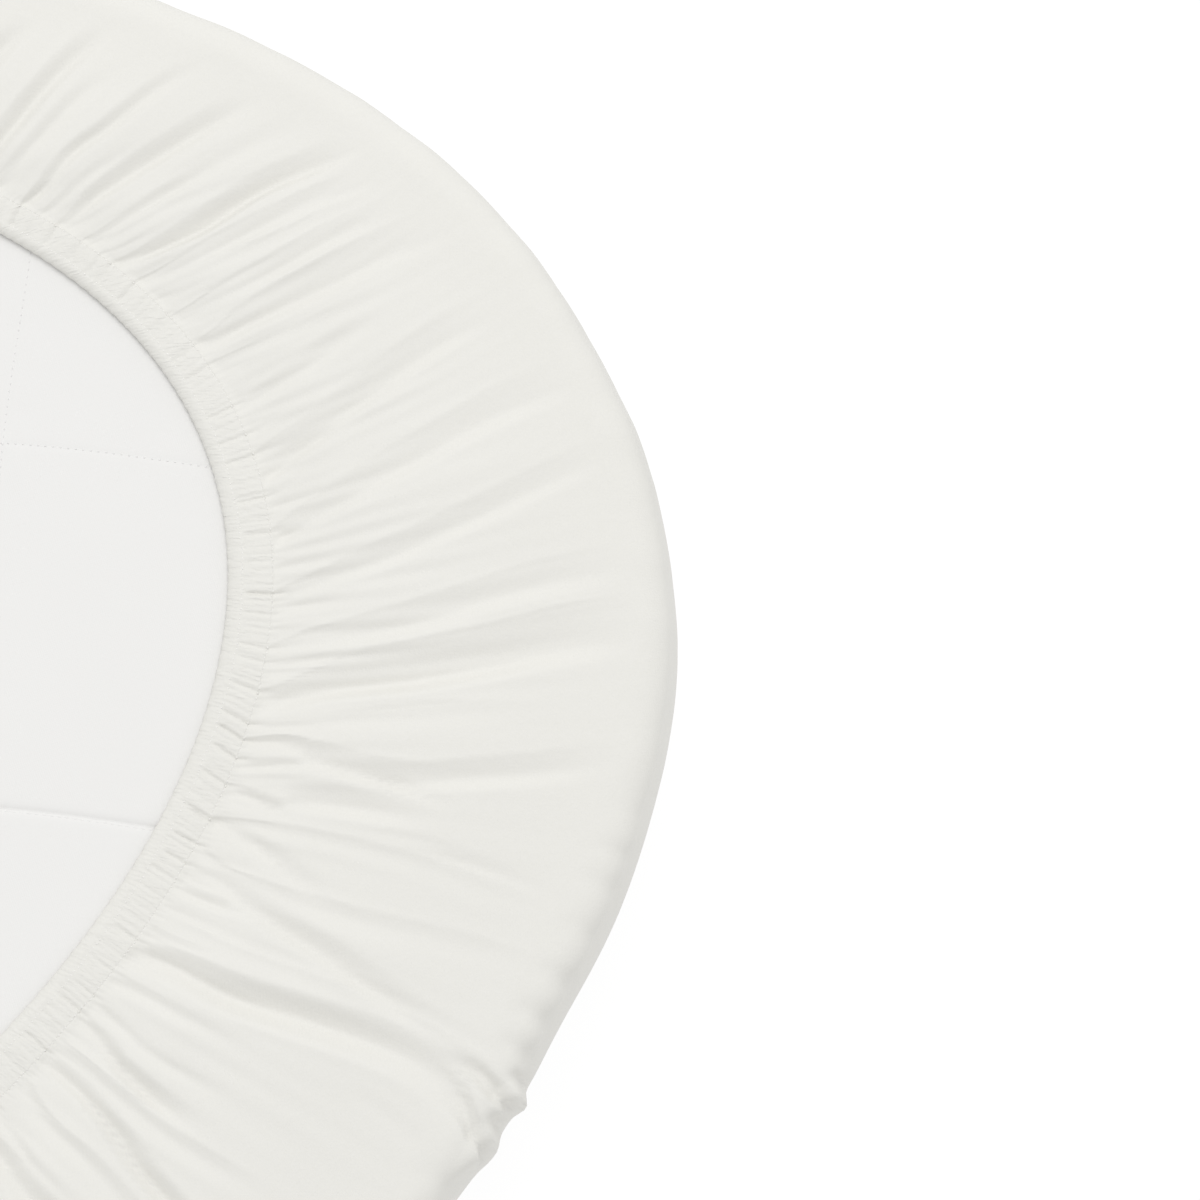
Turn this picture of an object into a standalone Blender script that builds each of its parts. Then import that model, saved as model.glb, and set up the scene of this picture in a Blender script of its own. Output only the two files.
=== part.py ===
"""Fitted jersey sheet on an oval cot mattress, lying with its gathered hem upwards.

The sheet is one closed solid of thin cloth: a flat floor side, a rounded edge, and a face that is turned over
onto the mattress and drawn in by a gathered hem round an oval opening. The mattress is one filled solid with
stitched quilting channels in its upper face.

Frame: metres, +Z up, +X along the length. The origin is the middle of the floor side.

A place on the turned-over face is a station, the angle of the oval in degrees from the +X end, and a reach, which
runs from 0 at the hem's stitching to 1 where the face begins to turn down into the edge.
"""

import math
import random
from typing import NamedTuple

import bmesh
import bpy
from mathutils import Vector

# Driving dimensions of the dressed mattress
LENGTH = 1.200
WIDTH = 0.670
MATTRESS_THICKNESS = 0.080

# Cloth and the room it keeps from the mattress
CLOTH = 0.0015
FLOOR_GAP = 0.0003
FACE_GAP = 0.0007
EDGE_GAP = 0.0020

# Edge of the dressed mattress: its upper and lower rounding, and how far its middle stands out
EDGE_RADIUS = 0.012
FLOOR_EDGE_RADIUS = 0.010
SIDE_SWELL = 0.0015
HALF_TURN = math.radians(45.0)

# Opening within the hem
OPENING_LENGTH = 0.932
OPENING_WIDTH = 0.453
OPENING_OFFSET_Y = 0.036

# Hem casing: a flat tube of cloth with rounded rims, sewn down at its outer side
CASING_WIDTH = 0.0146
CASING_THICKNESS = 0.0034
CASING_ROUND = 0.0026
GROOVE_DROP = 0.0012

# Where the casing stands clear of the mattress: how far, round which station, over how many degrees
CASING_LIFT = 0.0016
LIFT_STATION = 60.0
LIFT_SPREAD = 75.0
LIFT_REACH = 0.5

# Levels
MATTRESS_BOTTOM = CLOTH + FLOOR_GAP
MATTRESS_TOP = MATTRESS_BOTTOM + MATTRESS_THICKNESS
FACE_UNDERSIDE = MATTRESS_TOP + FACE_GAP
FACE_LEVEL = FACE_UNDERSIDE + CLOTH

# Reaches at which the folds have a section, on the face and on its underside
FACE_REACHES = (0.06, 0.20, 0.43, 0.71, 1.0)
UNDERSIDE_REACHES = FACE_REACHES[1:]

# How a fold grows: its share of height at the stitching, where it is full, and where it begins to die out
FOLD_START_SHARE = 0.55
FOLD_FULL_REACH = 0.22
FOLD_FALL_REACH = 0.38
NEAR_RIDGE_SHARE = 0.4
NEAR_RIDGE_FULLNESS = 0.86


class Fold(NamedTuple):
    """A sharp valley and the broad ridge between it and the next valley."""

    hem_station: float
    edge_station: float
    reach: float
    height: float
    ridge_columns: int = 2


class Column(NamedTuple):
    """One line of points across the face, from the hem to the edge."""

    hem_station: float
    edge_station: float
    reach: float
    height: float


class Swell(NamedTuple):
    """An uneven place of the edge."""

    station: float
    height: float
    spread: float


class Section(NamedTuple):
    """A point of the edge's profile: its inset, its height, and its share of the cloth rolls."""

    inset: float
    height: float
    roll_share: float


# Folds of the +X end: station at the hem, station at the edge, reach, height of the ridge, columns on the ridge
END_FOLDS = (
    Fold(43.0, 46.5, 0.80, 0.0042),
    Fold(36.0, 41.0, 0.95, 0.0047),
    Fold(30.3, 35.7, 1.00, 0.0050),
    Fold(26.0, 31.1, 0.95, 0.0056),
    Fold(23.4, 27.8, 0.88, 0.0038),
    Fold(18.9, 22.6, 0.95, 0.0048),
    Fold(13.2, 18.8, 0.88, 0.0054),
    Fold(9.4, 16.0, 0.75, 0.0046),
    Fold(4.4, 11.6, 0.92, 0.0052),
    Fold(-1.2, 6.4, 1.00, 0.0050),
    Fold(-5.7, 0.9, 0.96, 0.0066),
    Fold(-10.5, -5.2, 0.96, 0.0046),
    Fold(-13.6, -8.8, 0.95, 0.0049),
    Fold(-16.0, -10.8, 0.85, 0.0044),
    Fold(-18.4, -13.6, 0.50, 0.0050),
    Fold(-21.1, -16.9, 0.98, 0.0062, 3),
    Fold(-24.2, -21.8, 0.65, 0.0060),
    Fold(-26.3, -25.2, 0.95, 0.0056),
    Fold(-28.5, -28.7, 0.95, 0.0056),
    Fold(-30.3, -31.6, 0.75, 0.0066),
    Fold(-32.6, -33.8, 1.00, 0.0068),
    Fold(-34.9, -36.0, 1.00, 0.0090, 3),
    Fold(-39.9, -42.0, 0.60, 0.0060),
    Fold(-42.6, -45.0, 0.88, 0.0054),
    Fold(-47.4, -49.8, 0.80, 0.0050),
)

# Folds of the rest of the round: their pitch at the hem, how much it varies, and ranges for the rest
REST_PITCH = 0.037
REST_PITCH_VARIATION = 0.30
REST_HEIGHT = (0.0042, 0.0066)
REST_REACH = (0.65, 1.0)
REST_LEAN = (-1.0, 1.0)
REST_LAST_SHARE = 0.6
REST_SEED = 7

# Uneven edge of the +X end: station, how far the edge stands out there, spread in degrees
EDGE_SWELLS = (
    Swell(22.0, 0.0009, 7.0),
    Swell(6.0, -0.0014, 5.0),
    Swell(-13.5, 0.0014, 5.5),
    Swell(-31.0, -0.0022, 4.0),
)

# Rolls of cloth where the largest fold crosses the edge: station, height, spread in degrees
EDGE_ROLLS = (
    Swell(-35.2, 0.0030, 0.9),
    Swell(-38.2, 0.0036, 1.1),
)

# Quilting of the mattress: square cells of stitched channels, turned to the length
QUILT_PITCH = 0.118
QUILT_TURN = math.radians(-25.0)
QUILT_FIRST_ALONG = 0.3415
QUILT_FIRST_ACROSS = 0.1105
QUILT_DEPTH = 0.0026
QUILT_SHOULDER = 0.009
QUILT_SHOULDER_DEPTH = 0.0003
QUILT_RIM_FADE = 0.050
CUT_TOLERANCE = 0.0002
MATTRESS_STATIONS = 120

# Surfaces
JERSEY_COLOUR = (0.84, 0.83, 0.79, 1.0)
TICKING_COLOUR = (0.87, 0.865, 0.855, 1.0)
CLOTH_ROUGHNESS = 0.9
SHARP_ANGLE = math.radians(50.0)


def bell(distance, spread):
    """Smooth bump of height 1 that falls to nothing over about two spreads."""
    return math.exp(-(distance / spread) ** 2)


def ease(value):
    """Smooth step from 0 to 1."""
    clamped = min(max(value, 0.0), 1.0)
    return clamped * clamped * (3.0 - 2.0 * clamped)


def stations_apart(station, middle):
    """Degrees from one station to another, the short way round."""
    return (station - middle + 180.0) % 360.0 - 180.0


def swell_height(swells, station):
    """Height of a set of swells at a station."""
    return sum(swell.height * bell(stations_apart(station, swell.station), swell.spread) for swell in swells)


def edge_point(station, inset):
    """Point of the uneven edge in plan, moved inwards by an inset."""
    angle = math.radians(station)
    point = Vector((LENGTH / 2.0 * math.cos(angle), WIDTH / 2.0 * math.sin(angle)))
    outward = Vector((WIDTH * math.cos(angle), LENGTH * math.sin(angle))).normalized()
    return point + outward * (swell_height(EDGE_SWELLS, station) - inset)


def turn_point(station):
    """Point in plan where the face begins to turn down into the edge."""
    return edge_point(station, SIDE_SWELL + EDGE_RADIUS)


def hem_point(station):
    """Point of the hem's inner edge in plan."""
    angle = math.radians(station)
    return Vector((
        OPENING_LENGTH / 2.0 * math.cos(angle),
        OPENING_OFFSET_Y + OPENING_WIDTH / 2.0 * math.sin(angle),
    ))


def hem_lift(station):
    """How far the casing stands clear of the mattress at a station."""
    return CASING_LIFT * bell(stations_apart(station, LIFT_STATION), LIFT_SPREAD)


def rest_folds():
    """Folds of the rest of the round, from the last charted one on to the first."""
    chance = random.Random(REST_SEED)
    first = END_FOLDS[0]
    last = END_FOLDS[-1]
    end_station = first.hem_station - 360.0
    first_lean = first.edge_station - first.hem_station
    last_lean = last.edge_station - last.hem_station
    station = last.hem_station
    folds = []
    while True:
        run_per_degree = (hem_point(station - 1.0) - hem_point(station)).length
        pitch = REST_PITCH * (1.0 + REST_PITCH_VARIATION * chance.uniform(-1.0, 1.0))
        station -= pitch / run_per_degree
        if station < end_station + REST_LAST_SHARE * REST_PITCH / run_per_degree:
            return folds
        share = (last.hem_station - station) / (last.hem_station - end_station)
        lean = last_lean + (first_lean - last_lean) * share
        wander = chance.uniform(*REST_LEAN) * math.sin(math.pi * share)
        reach = chance.uniform(*REST_REACH)
        height = chance.uniform(*REST_HEIGHT)
        folds.append(Fold(station, station + lean + wander, reach, height))


def between(fold, neighbour, share):
    """Column on the ridge of a fold, at a share of the way to the next valley."""
    fullness = NEAR_RIDGE_FULLNESS if share < NEAR_RIDGE_SHARE else 1.0
    return Column(
        fold.hem_station + (neighbour.hem_station - fold.hem_station) * share,
        fold.edge_station + (neighbour.edge_station - fold.edge_station) * share,
        fold.reach + (neighbour.reach - fold.reach) * share,
        fold.height * fullness,
    )


def fold_columns():
    """Columns of the face, an even number of them: each fold's valley, then those on its ridge."""
    folds = list(END_FOLDS) + rest_folds()
    first = folds[0]
    first_again = first._replace(
        hem_station=first.hem_station - 360.0,
        edge_station=first.edge_station - 360.0,
    )
    points = sum(1 + fold.ridge_columns for fold in folds)
    if points % 2:
        folds[-1] = folds[-1]._replace(ridge_columns=folds[-1].ridge_columns + 1)
    columns = []
    for fold, neighbour in zip(folds, folds[1:] + [first_again]):
        columns.append(Column(fold.hem_station, fold.edge_station, fold.reach, 0.0))
        for number in range(1, fold.ridge_columns + 1):
            columns.append(between(fold, neighbour, number / (fold.ridge_columns + 1)))
    return columns


def fold_height(column, reach):
    """Height of the cloth over its valleys: it rises from the stitching and dies out towards the edge."""
    rise = FOLD_START_SHARE + (1.0 - FOLD_START_SHARE) * ease(reach / FOLD_FULL_REACH)
    fall = 1.0 - ease((reach - FOLD_FALL_REACH) / (column.reach - FOLD_FALL_REACH))
    return column.height * rise * fall


def casing_ring(columns, distance, height):
    """Ring along the casing, a distance from the hem's inner edge and a height over its underside."""
    ring = []
    for column in columns:
        hem = hem_point(column.hem_station)
        outward = (turn_point(column.hem_station) - hem).normalized()
        place = hem + outward * distance
        ring.append((place.x, place.y, FACE_UNDERSIDE + hem_lift(column.hem_station) + height))
    return ring


def face_ring(columns, reach, base):
    """Ring across all the folds at one reach, over a base level."""
    ring = []
    for column in columns:
        station = column.hem_station + (column.edge_station - column.hem_station) * reach
        hem = hem_point(station)
        turn = turn_point(station)
        width = (turn - hem).length
        place = hem.lerp(turn, (CASING_WIDTH + (width - CASING_WIDTH) * reach) / width)
        lift = hem_lift(column.hem_station) * (1.0 - ease(reach / LIFT_REACH))
        ring.append((place.x, place.y, base + lift + fold_height(column, reach)))
    return ring


def edge_ring(columns, section):
    """Ring round the edge at one section of its profile."""
    ring = []
    for column in columns:
        roll = swell_height(EDGE_ROLLS, column.edge_station) * section.roll_share
        place = edge_point(column.edge_station, section.inset - roll)
        ring.append((place.x, place.y, section.height))
    return ring


def edge_profile(wall, lower_radius, upper_radius, bottom, top):
    """Profile of an edge from just under its upper face down to its lower one.

    The wall is the inset of the upright stretch at its ends, and its middle stands out by the side's swell.
    """
    slack = 1.0 - math.cos(HALF_TURN)
    return (
        Section(wall + upper_radius * slack, top - upper_radius * slack, 1.0),
        Section(wall, top - upper_radius, 0.9),
        Section(wall - SIDE_SWELL, (top + bottom) / 2.0, 0.4),
        Section(wall, bottom + lower_radius, 0.1),
        Section(wall + lower_radius * slack, bottom + lower_radius * slack, 0.0),
        Section(wall + lower_radius, bottom, 0.0),
    )


def add_rings(mesh, rings):
    """Add the points of several rings."""
    return [[mesh.verts.new(place) for place in ring] for ring in rings]


def bridge(mesh, upper, lower):
    """Join two rings that have the same number of points."""
    count = len(upper)
    for index in range(count):
        following = (index + 1) % count
        mesh.faces.new((upper[index], upper[following], lower[following], lower[index]))


def bridge_all(mesh, rings):
    """Join each ring to the next."""
    for upper, lower in zip(rings, rings[1:]):
        bridge(mesh, upper, lower)


def bridge_to_half(mesh, upper, lower):
    """Join a ring to one with half as many points, by three triangles for each of the latter."""
    count = len(lower)
    for index in range(count):
        following = (index + 1) % count
        start = upper[2 * index]
        middle = upper[2 * index + 1]
        end = upper[2 * following]
        mesh.faces.new((start, middle, lower[index]))
        mesh.faces.new((middle, lower[following], lower[index]))
        mesh.faces.new((middle, end, lower[following]))


def build_sheet(material):
    """Build the whole sheet as one closed solid."""
    columns = fold_columns()
    side_columns = columns[::2]

    face = [
        casing_ring(columns, 0.0, CASING_THICKNESS / 2.0),
        casing_ring(columns, CASING_ROUND, CASING_THICKNESS),
        casing_ring(columns, CASING_WIDTH - CASING_ROUND, CASING_THICKNESS),
        casing_ring(columns, CASING_WIDTH, CASING_THICKNESS - GROOVE_DROP),
    ]
    face += [face_ring(columns, reach, FACE_LEVEL) for reach in FACE_REACHES]
    underside = [
        casing_ring(columns, CASING_ROUND, 0.0),
        casing_ring(columns, CASING_WIDTH, 0.0),
    ]
    underside += [face_ring(columns, reach, FACE_UNDERSIDE) for reach in UNDERSIDE_REACHES]

    outer_profile = edge_profile(SIDE_SWELL, FLOOR_EDGE_RADIUS, EDGE_RADIUS, 0.0, FACE_LEVEL)
    inner_profile = edge_profile(
        SIDE_SWELL + CLOTH, FLOOR_EDGE_RADIUS - CLOTH, EDGE_RADIUS - CLOTH, CLOTH, FACE_UNDERSIDE,
    )

    mesh = bmesh.new()
    face = add_rings(mesh, face)
    underside = add_rings(mesh, underside)
    outside = add_rings(mesh, [edge_ring(side_columns, section) for section in outer_profile])
    inside = add_rings(mesh, [edge_ring(side_columns, section) for section in inner_profile])

    bridge(mesh, underside[0], face[0])
    for skin, side in ((face, outside), (underside, inside)):
        bridge_all(mesh, skin)
        bridge_to_half(mesh, skin[-1], side[0])
        bridge_all(mesh, side)
        mesh.faces.new(side[-1])
    return finish_piece(mesh, "sheet", material)


def line_distance(value, first):
    """Distance from the nearest of a set of lines one quilting pitch apart."""
    return abs((value - first + QUILT_PITCH / 2.0) % QUILT_PITCH - QUILT_PITCH / 2.0)


def quilt_lines():
    """The two sets of quilting lines: direction that a set is counted along, and the place of its first line."""
    along = Vector((math.cos(QUILT_TURN), math.sin(QUILT_TURN)))
    across = Vector((-math.sin(QUILT_TURN), math.cos(QUILT_TURN)))
    return ((along, QUILT_FIRST_ALONG), (across, QUILT_FIRST_ACROSS))


def quilt_depth(point):
    """Depth of the stitched channels at a point of the mattress's upper face, less near its rim."""
    nearest = min(line_distance(point.dot(direction), first) for direction, first in quilt_lines())
    channel = (QUILT_DEPTH - QUILT_SHOULDER_DEPTH) * max(0.0, 1.0 - nearest / QUILT_SHOULDER)
    from_rim = (1.0 - math.hypot(2.0 * point.x / LENGTH, 2.0 * point.y / WIDTH)) * WIDTH / 2.0
    return (QUILT_SHOULDER_DEPTH + channel) * ease(from_rim / QUILT_RIM_FADE)


def cut_quilting(mesh, face):
    """Cut the upper face along each quilting line and along both shoulders of its channel."""
    pieces = [face]
    lines_each_way = math.ceil(LENGTH / 2.0 / QUILT_PITCH) + 1
    for direction, first in quilt_lines():
        for number in range(-2 * lines_each_way, lines_each_way):
            for offset in (-QUILT_SHOULDER, 0.0, QUILT_SHOULDER):
                plane_point = direction * (first + number * QUILT_PITCH + offset)
                geometry = list(pieces)
                geometry += list({edge for piece in pieces for edge in piece.edges})
                geometry += list({vert for piece in pieces for vert in piece.verts})
                cut = bmesh.ops.bisect_plane(
                    mesh,
                    geom=geometry,
                    dist=CUT_TOLERANCE,
                    plane_co=plane_point.to_3d(),
                    plane_no=direction.to_3d(),
                )
                pieces = [item for item in cut["geom"] if isinstance(item, bmesh.types.BMFace)]
    return pieces


def build_mattress(material):
    """Build the filled mattress with its quilted upper face."""
    wall = SIDE_SWELL + CLOTH + EDGE_GAP
    profile = edge_profile(wall, FLOOR_EDGE_RADIUS, EDGE_RADIUS, MATTRESS_BOTTOM, MATTRESS_TOP)
    profile = (Section(wall + EDGE_RADIUS, MATTRESS_TOP, 0.0),) + profile
    stations = [-360.0 * number / MATTRESS_STATIONS for number in range(MATTRESS_STATIONS)]

    mesh = bmesh.new()
    rings = []
    for section in profile:
        plan = [edge_point(station, section.inset) for station in stations]
        rings.append([(place.x, place.y, section.height) for place in plan])
    rings = add_rings(mesh, rings)
    bridge_all(mesh, rings)
    mesh.faces.new(rings[-1])
    upper_faces = cut_quilting(mesh, mesh.faces.new(rings[0]))

    upper_verts = {vert for face in upper_faces for vert in face.verts}
    inner_verts = [vert for vert in upper_verts if all(face in upper_faces for face in vert.link_faces)]
    for vert in inner_verts:
        vert.co.z -= quilt_depth(vert.co.to_2d())
    return finish_piece(mesh, "mattress", material)


def finish_piece(mesh, name, material):
    """Turn a closed bmesh into a named object with its material."""
    bmesh.ops.recalc_face_normals(mesh, faces=mesh.faces[:])
    data = bpy.data.meshes.new(name)
    mesh.to_mesh(data)
    mesh.free()
    data.materials.append(material)
    data.shade_smooth()
    data.set_sharp_from_angle(angle=SHARP_ANGLE)
    piece = bpy.data.objects.new(name, data)
    bpy.context.scene.collection.objects.link(piece)
    return piece


def cloth_material(name, colour):
    """Plain matt cloth in one colour."""
    material = bpy.data.materials.new(name)
    material.use_nodes = True
    shader = material.node_tree.nodes["Principled BSDF"]
    shader.inputs["Base Color"].default_value = colour
    shader.inputs["Roughness"].default_value = CLOTH_ROUGHNESS
    shader.inputs["Metallic"].default_value = 0.0
    return material


def clear_scene():
    """Remove whatever the scene holds."""
    for item in list(bpy.data.objects):
        bpy.data.objects.remove(item, do_unlink=True)


def main():
    """Build both pieces."""
    clear_scene()
    build_sheet(cloth_material("jersey", JERSEY_COLOUR))
    build_mattress(cloth_material("ticking", TICKING_COLOUR))


main()
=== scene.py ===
"""Dressed look of a jersey fitted sheet on an oval cot mattress, which lies with its gathered hem upwards.

The sheet is one stretched cloth with a sewn casing round an oval opening, and the quilted mattress shows
inside it.

Frame: metres, +Z up, +X along the length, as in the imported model. A place on the turned-over face is a
station, the angle of the oval in degrees from the +X end, and a reach, from 0 at the hem's outer stitching to
1 where the face begins to turn down into the edge. A distance is measured outwards from the hem's inner edge.
"""

import logging
import math
import random
from dataclasses import dataclass, field
from enum import Enum

import bpy
import numpy as np
from mathutils import Matrix, Vector
from mathutils.geometry import delaunay_2d_cdt
from numpy.typing import NDArray


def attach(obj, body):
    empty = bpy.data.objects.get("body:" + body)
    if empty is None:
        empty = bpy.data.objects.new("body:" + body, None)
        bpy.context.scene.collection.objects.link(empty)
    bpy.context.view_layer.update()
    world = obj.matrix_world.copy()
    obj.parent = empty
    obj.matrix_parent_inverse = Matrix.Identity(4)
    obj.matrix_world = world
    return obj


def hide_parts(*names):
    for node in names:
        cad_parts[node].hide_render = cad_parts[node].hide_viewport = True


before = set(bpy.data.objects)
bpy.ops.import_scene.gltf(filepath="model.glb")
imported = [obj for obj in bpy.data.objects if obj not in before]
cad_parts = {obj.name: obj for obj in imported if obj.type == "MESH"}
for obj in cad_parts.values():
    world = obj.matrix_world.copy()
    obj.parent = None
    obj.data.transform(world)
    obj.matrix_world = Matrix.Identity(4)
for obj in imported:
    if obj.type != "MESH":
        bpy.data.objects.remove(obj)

Array = NDArray[np.float64]
Ints = NDArray[np.int64]
Colour = tuple[float, float, float]
Range = tuple[float, float]

LOG = logging.getLogger("dressed_mattress")
MM = 0.001
FULL_TURN = 360.0
QUARTER = np.pi / 2.0
# About how long the hem is, for pitches that go into it a whole number of times
HEM_LENGTH = 2.23
# Mapping of the casing's creases, one place on a drum for each point
HEM_ROUND = "hem_round"
# How far the bottom of a crease is rounded off, as a share of its width
BLUNTNESS = 0.25
# Largest share of its own height that gathers take from the cloth
GATHER_LIMIT = 0.85


class Slot(Enum):
    """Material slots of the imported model."""

    JERSEY = "jersey"
    TICKING = "ticking"


class StitchRow(Enum):
    """The two rows of stitches that close the casing."""

    INNER = "inner"
    OUTER = "outer"


def ease(value: Array | float) -> Array:
    """Smooth step from 0 to 1."""
    clamped = np.clip(value, 0.0, 1.0)
    return clamped * clamped * (3.0 - 2.0 * clamped)


def bell(distance: Array | float, spread: float) -> Array:
    """Smooth bump of height 1 that falls to nothing over about two spreads."""
    return np.exp(-np.square(np.asarray(distance) / spread))


def stations_apart(station: Array | float, middle: Array | float) -> Array:
    """Degrees from one station to another, the short way round."""
    return (np.asarray(station) - middle + 180.0) % FULL_TURN - 180.0


def soft_floor(value: Array, softness: float) -> Array:
    """Value where it is well above 0, and a rounded approach to 0 where it is below."""
    return softness * np.logaddexp(0.0, value / softness)


def trough(across: Array, width: Array | float) -> Array:
    """Depth share of a crease: 1 at its line, with a narrow rounded bottom and long soft shoulders."""
    scaled = across / width
    return np.exp(BLUNTNESS - np.sqrt(scaled * scaled + BLUNTNESS * BLUNTNESS))


def swung(angle: Array, turns: float, swing: float, swings: float) -> Array:
    """Wave of so many turns whose phase swings to and fro."""
    return np.sin(angle * turns + swing * np.sin(angle * swings))


def steps(end: float, count: int) -> Array:
    """Even steps up to an end, without the 0 that they start from."""
    return np.linspace(0.0, end, count + 1)[1:]


def raised(place: Array, level: Array | float) -> Array:
    """Points in space from places in plan and their heights."""
    return np.concatenate([place, np.broadcast_to(level, place.shape[:-1])[..., None]], axis=-1)


def through_points(at: Array, places: Array, values: Array) -> Array:
    """Smooth curve through a few points: a cubic on each stretch, with the slopes of the points beside it.

    Args:
        at: where the curve is wanted; past the ends it goes straight on.
        places: places of the points, rising.
        values: values at the points.

    Returns:
        The curve's values.
    """
    slopes = np.gradient(values, places)
    index = np.clip(np.searchsorted(places, at) - 1, 0, len(places) - 2)
    step = places[index + 1] - places[index]
    share = (at - places[index]) / step
    inside = np.clip(share, 0.0, 1.0)
    start, end = values[index], values[index + 1]
    first, last = slopes[index] * step, slopes[index + 1] * step
    square = (3.0 * (end - start) - 2.0 * first - last) * inside**2
    curve = start + first * inside + square + (2.0 * (start - end) + first + last) * inside**3
    before = np.where(share < 0.0, first * share, 0.0)
    return curve + before + np.where(share > 1.0, last * (share - 1.0), 0.0)


@dataclass(frozen=True)
class Swell:
    """Smooth bump of a measure round the oval: where, how high, and over how many degrees."""

    station: float
    height: float
    spread: float

    def at(self, station: Array) -> Array:
        """Height of the bump at a station."""
        return self.height * bell(stations_apart(station, self.station), self.spread)


def swelling(swells: tuple[Swell, ...], station: Array) -> Array:
    """Sum of a set of bumps at a station."""
    return sum(swell.at(station) for swell in swells)


@dataclass(frozen=True)
class Oval:
    """Plan of the dressed mattress: its uneven oval edge and the oval opening within the hem."""

    length: float = 1.200
    width: float = 0.670
    opening_length: float = 0.932
    opening_width: float = 0.453
    opening_offset: float = 0.036
    casing_width: float = 14.6 * MM
    edge_radius: float = 12.0 * MM
    floor_edge_radius: float = 10.0 * MM
    side_swell: float = 1.5 * MM
    casing_lift: Swell = Swell(60.0, 0.6 * MM, 75.0)
    own_lean: Swell = Swell(-21.0, -0.8, 5.0)
    swells: tuple[Swell, ...] = (
        Swell(22.0, 0.9 * MM, 7.0),
        Swell(6.0, -1.4 * MM, 5.0),
        Swell(-13.5, 1.4 * MM, 5.5),
        Swell(-31.0, -2.2 * MM, 4.0),
    )

    def outward(self, station: Array) -> Array:
        """Unit direction in plan that points straight out of the edge.

        Args:
            station: stations of the points.

        Returns:
            Directions.
        """
        angle = np.radians(station)
        raw = np.stack([self.width * np.cos(angle), self.length * np.sin(angle)], axis=-1)
        return raw / np.linalg.norm(raw, axis=-1, keepdims=True)

    def edge(self, station: Array, inset: Array | float) -> Array:
        """Point of the uneven edge in plan, moved straight in by an inset.

        Args:
            station: stations of the points.
            inset: how far in, in metres.

        Returns:
            Points.
        """
        angle = np.radians(station)
        point = np.stack([self.length / 2.0 * np.cos(angle), self.width / 2.0 * np.sin(angle)], axis=-1)
        shift = swelling(self.swells, station) - inset
        return point + self.outward(station) * shift[..., None]

    def turn(self, station: Array) -> Array:
        """Point in plan where the face begins to turn down into the edge."""
        return self.edge(station, self.side_swell + self.edge_radius)

    def hem(self, station: Array) -> Array:
        """Point of the hem's inner edge in plan.

        Args:
            station: stations of the points.

        Returns:
            Points.
        """
        angle = np.radians(station)
        across = self.opening_offset + self.opening_width / 2.0 * np.sin(angle)
        return np.stack([self.opening_length / 2.0 * np.cos(angle), across], axis=-1)

    def across_face(self, station: Array) -> tuple[Array, Array]:
        """Unit direction from the hem to the turn, and how far apart they are.

        Args:
            station: stations of the points.

        Returns:
            Directions, and distances in metres.
        """
        gap = self.turn(station) - self.hem(station)
        span = np.linalg.norm(gap, axis=-1, keepdims=True)
        return gap / span, span[..., 0]

    def on_face(self, station: Array, reach: Array | float) -> Array:
        """Point of the face in plan at a station and a reach.

        Args:
            station: stations of the points.
            reach: reaches of the points.

        Returns:
            Points.
        """
        direction, span = self.across_face(station)
        run = self.casing_width + (span - self.casing_width) * reach
        return self.hem(station) + direction * run[..., None]

    def on_casing(self, station: Array, distance: Array | float) -> Array:
        """Point of the casing in plan, a distance out from the hem's inner edge."""
        direction, _ = self.across_face(station)
        return self.hem(station) + direction * np.asarray(distance)[..., None]

    def casing_lean(self, station: Array) -> Array:
        """Degrees that a line square to the hem drifts across the casing, with the gathers' own lean.

        Args:
            station: stations of the points.

        Returns:
            Degrees over the casing's whole width.
        """
        ahead = self.hem(station + 0.5) - self.hem(station - 0.5)
        direction, _ = self.across_face(station)
        square = -np.sum(direction * ahead, axis=-1) / np.sum(ahead * ahead, axis=-1) * self.casing_width
        return square + self.own_lean.at(station)

    def lift(self, station: Array) -> Array:
        """How far the casing stands clear of the mattress."""
        return self.casing_lift.at(station)

    def run_per_degree(self, station: Array, reach: Array | float) -> Array:
        """Metres of the face's ring for each degree, mixed from those of the hem and of the edge.

        Args:
            station: stations of the points.
            reach: reaches of the points.

        Returns:
            Metres for each degree.
        """
        angle = np.radians(station)
        sine, cosine = np.sin(angle), np.cos(angle)
        hem = np.hypot(self.opening_length / 2.0 * sine, self.opening_width / 2.0 * cosine)
        edge = np.hypot(self.length / 2.0 * sine, self.width / 2.0 * cosine)
        return np.radians(1.0) * (hem + (edge - hem) * np.asarray(reach))

    def hem_run(self, count: int = 7201) -> tuple[Array, Array]:
        """Even stations of the whole round, and the run along the hem up to each.

        Args:
            count: number of stations.

        Returns:
            Stations, and runs in metres.
        """
        station = np.linspace(0.0, FULL_TURN, count)
        runs = self.run_per_degree((station[1:] + station[:-1]) / 2.0, 0.0) * np.diff(station)
        return station, np.concatenate([[0.0], np.cumsum(runs)])

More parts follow.
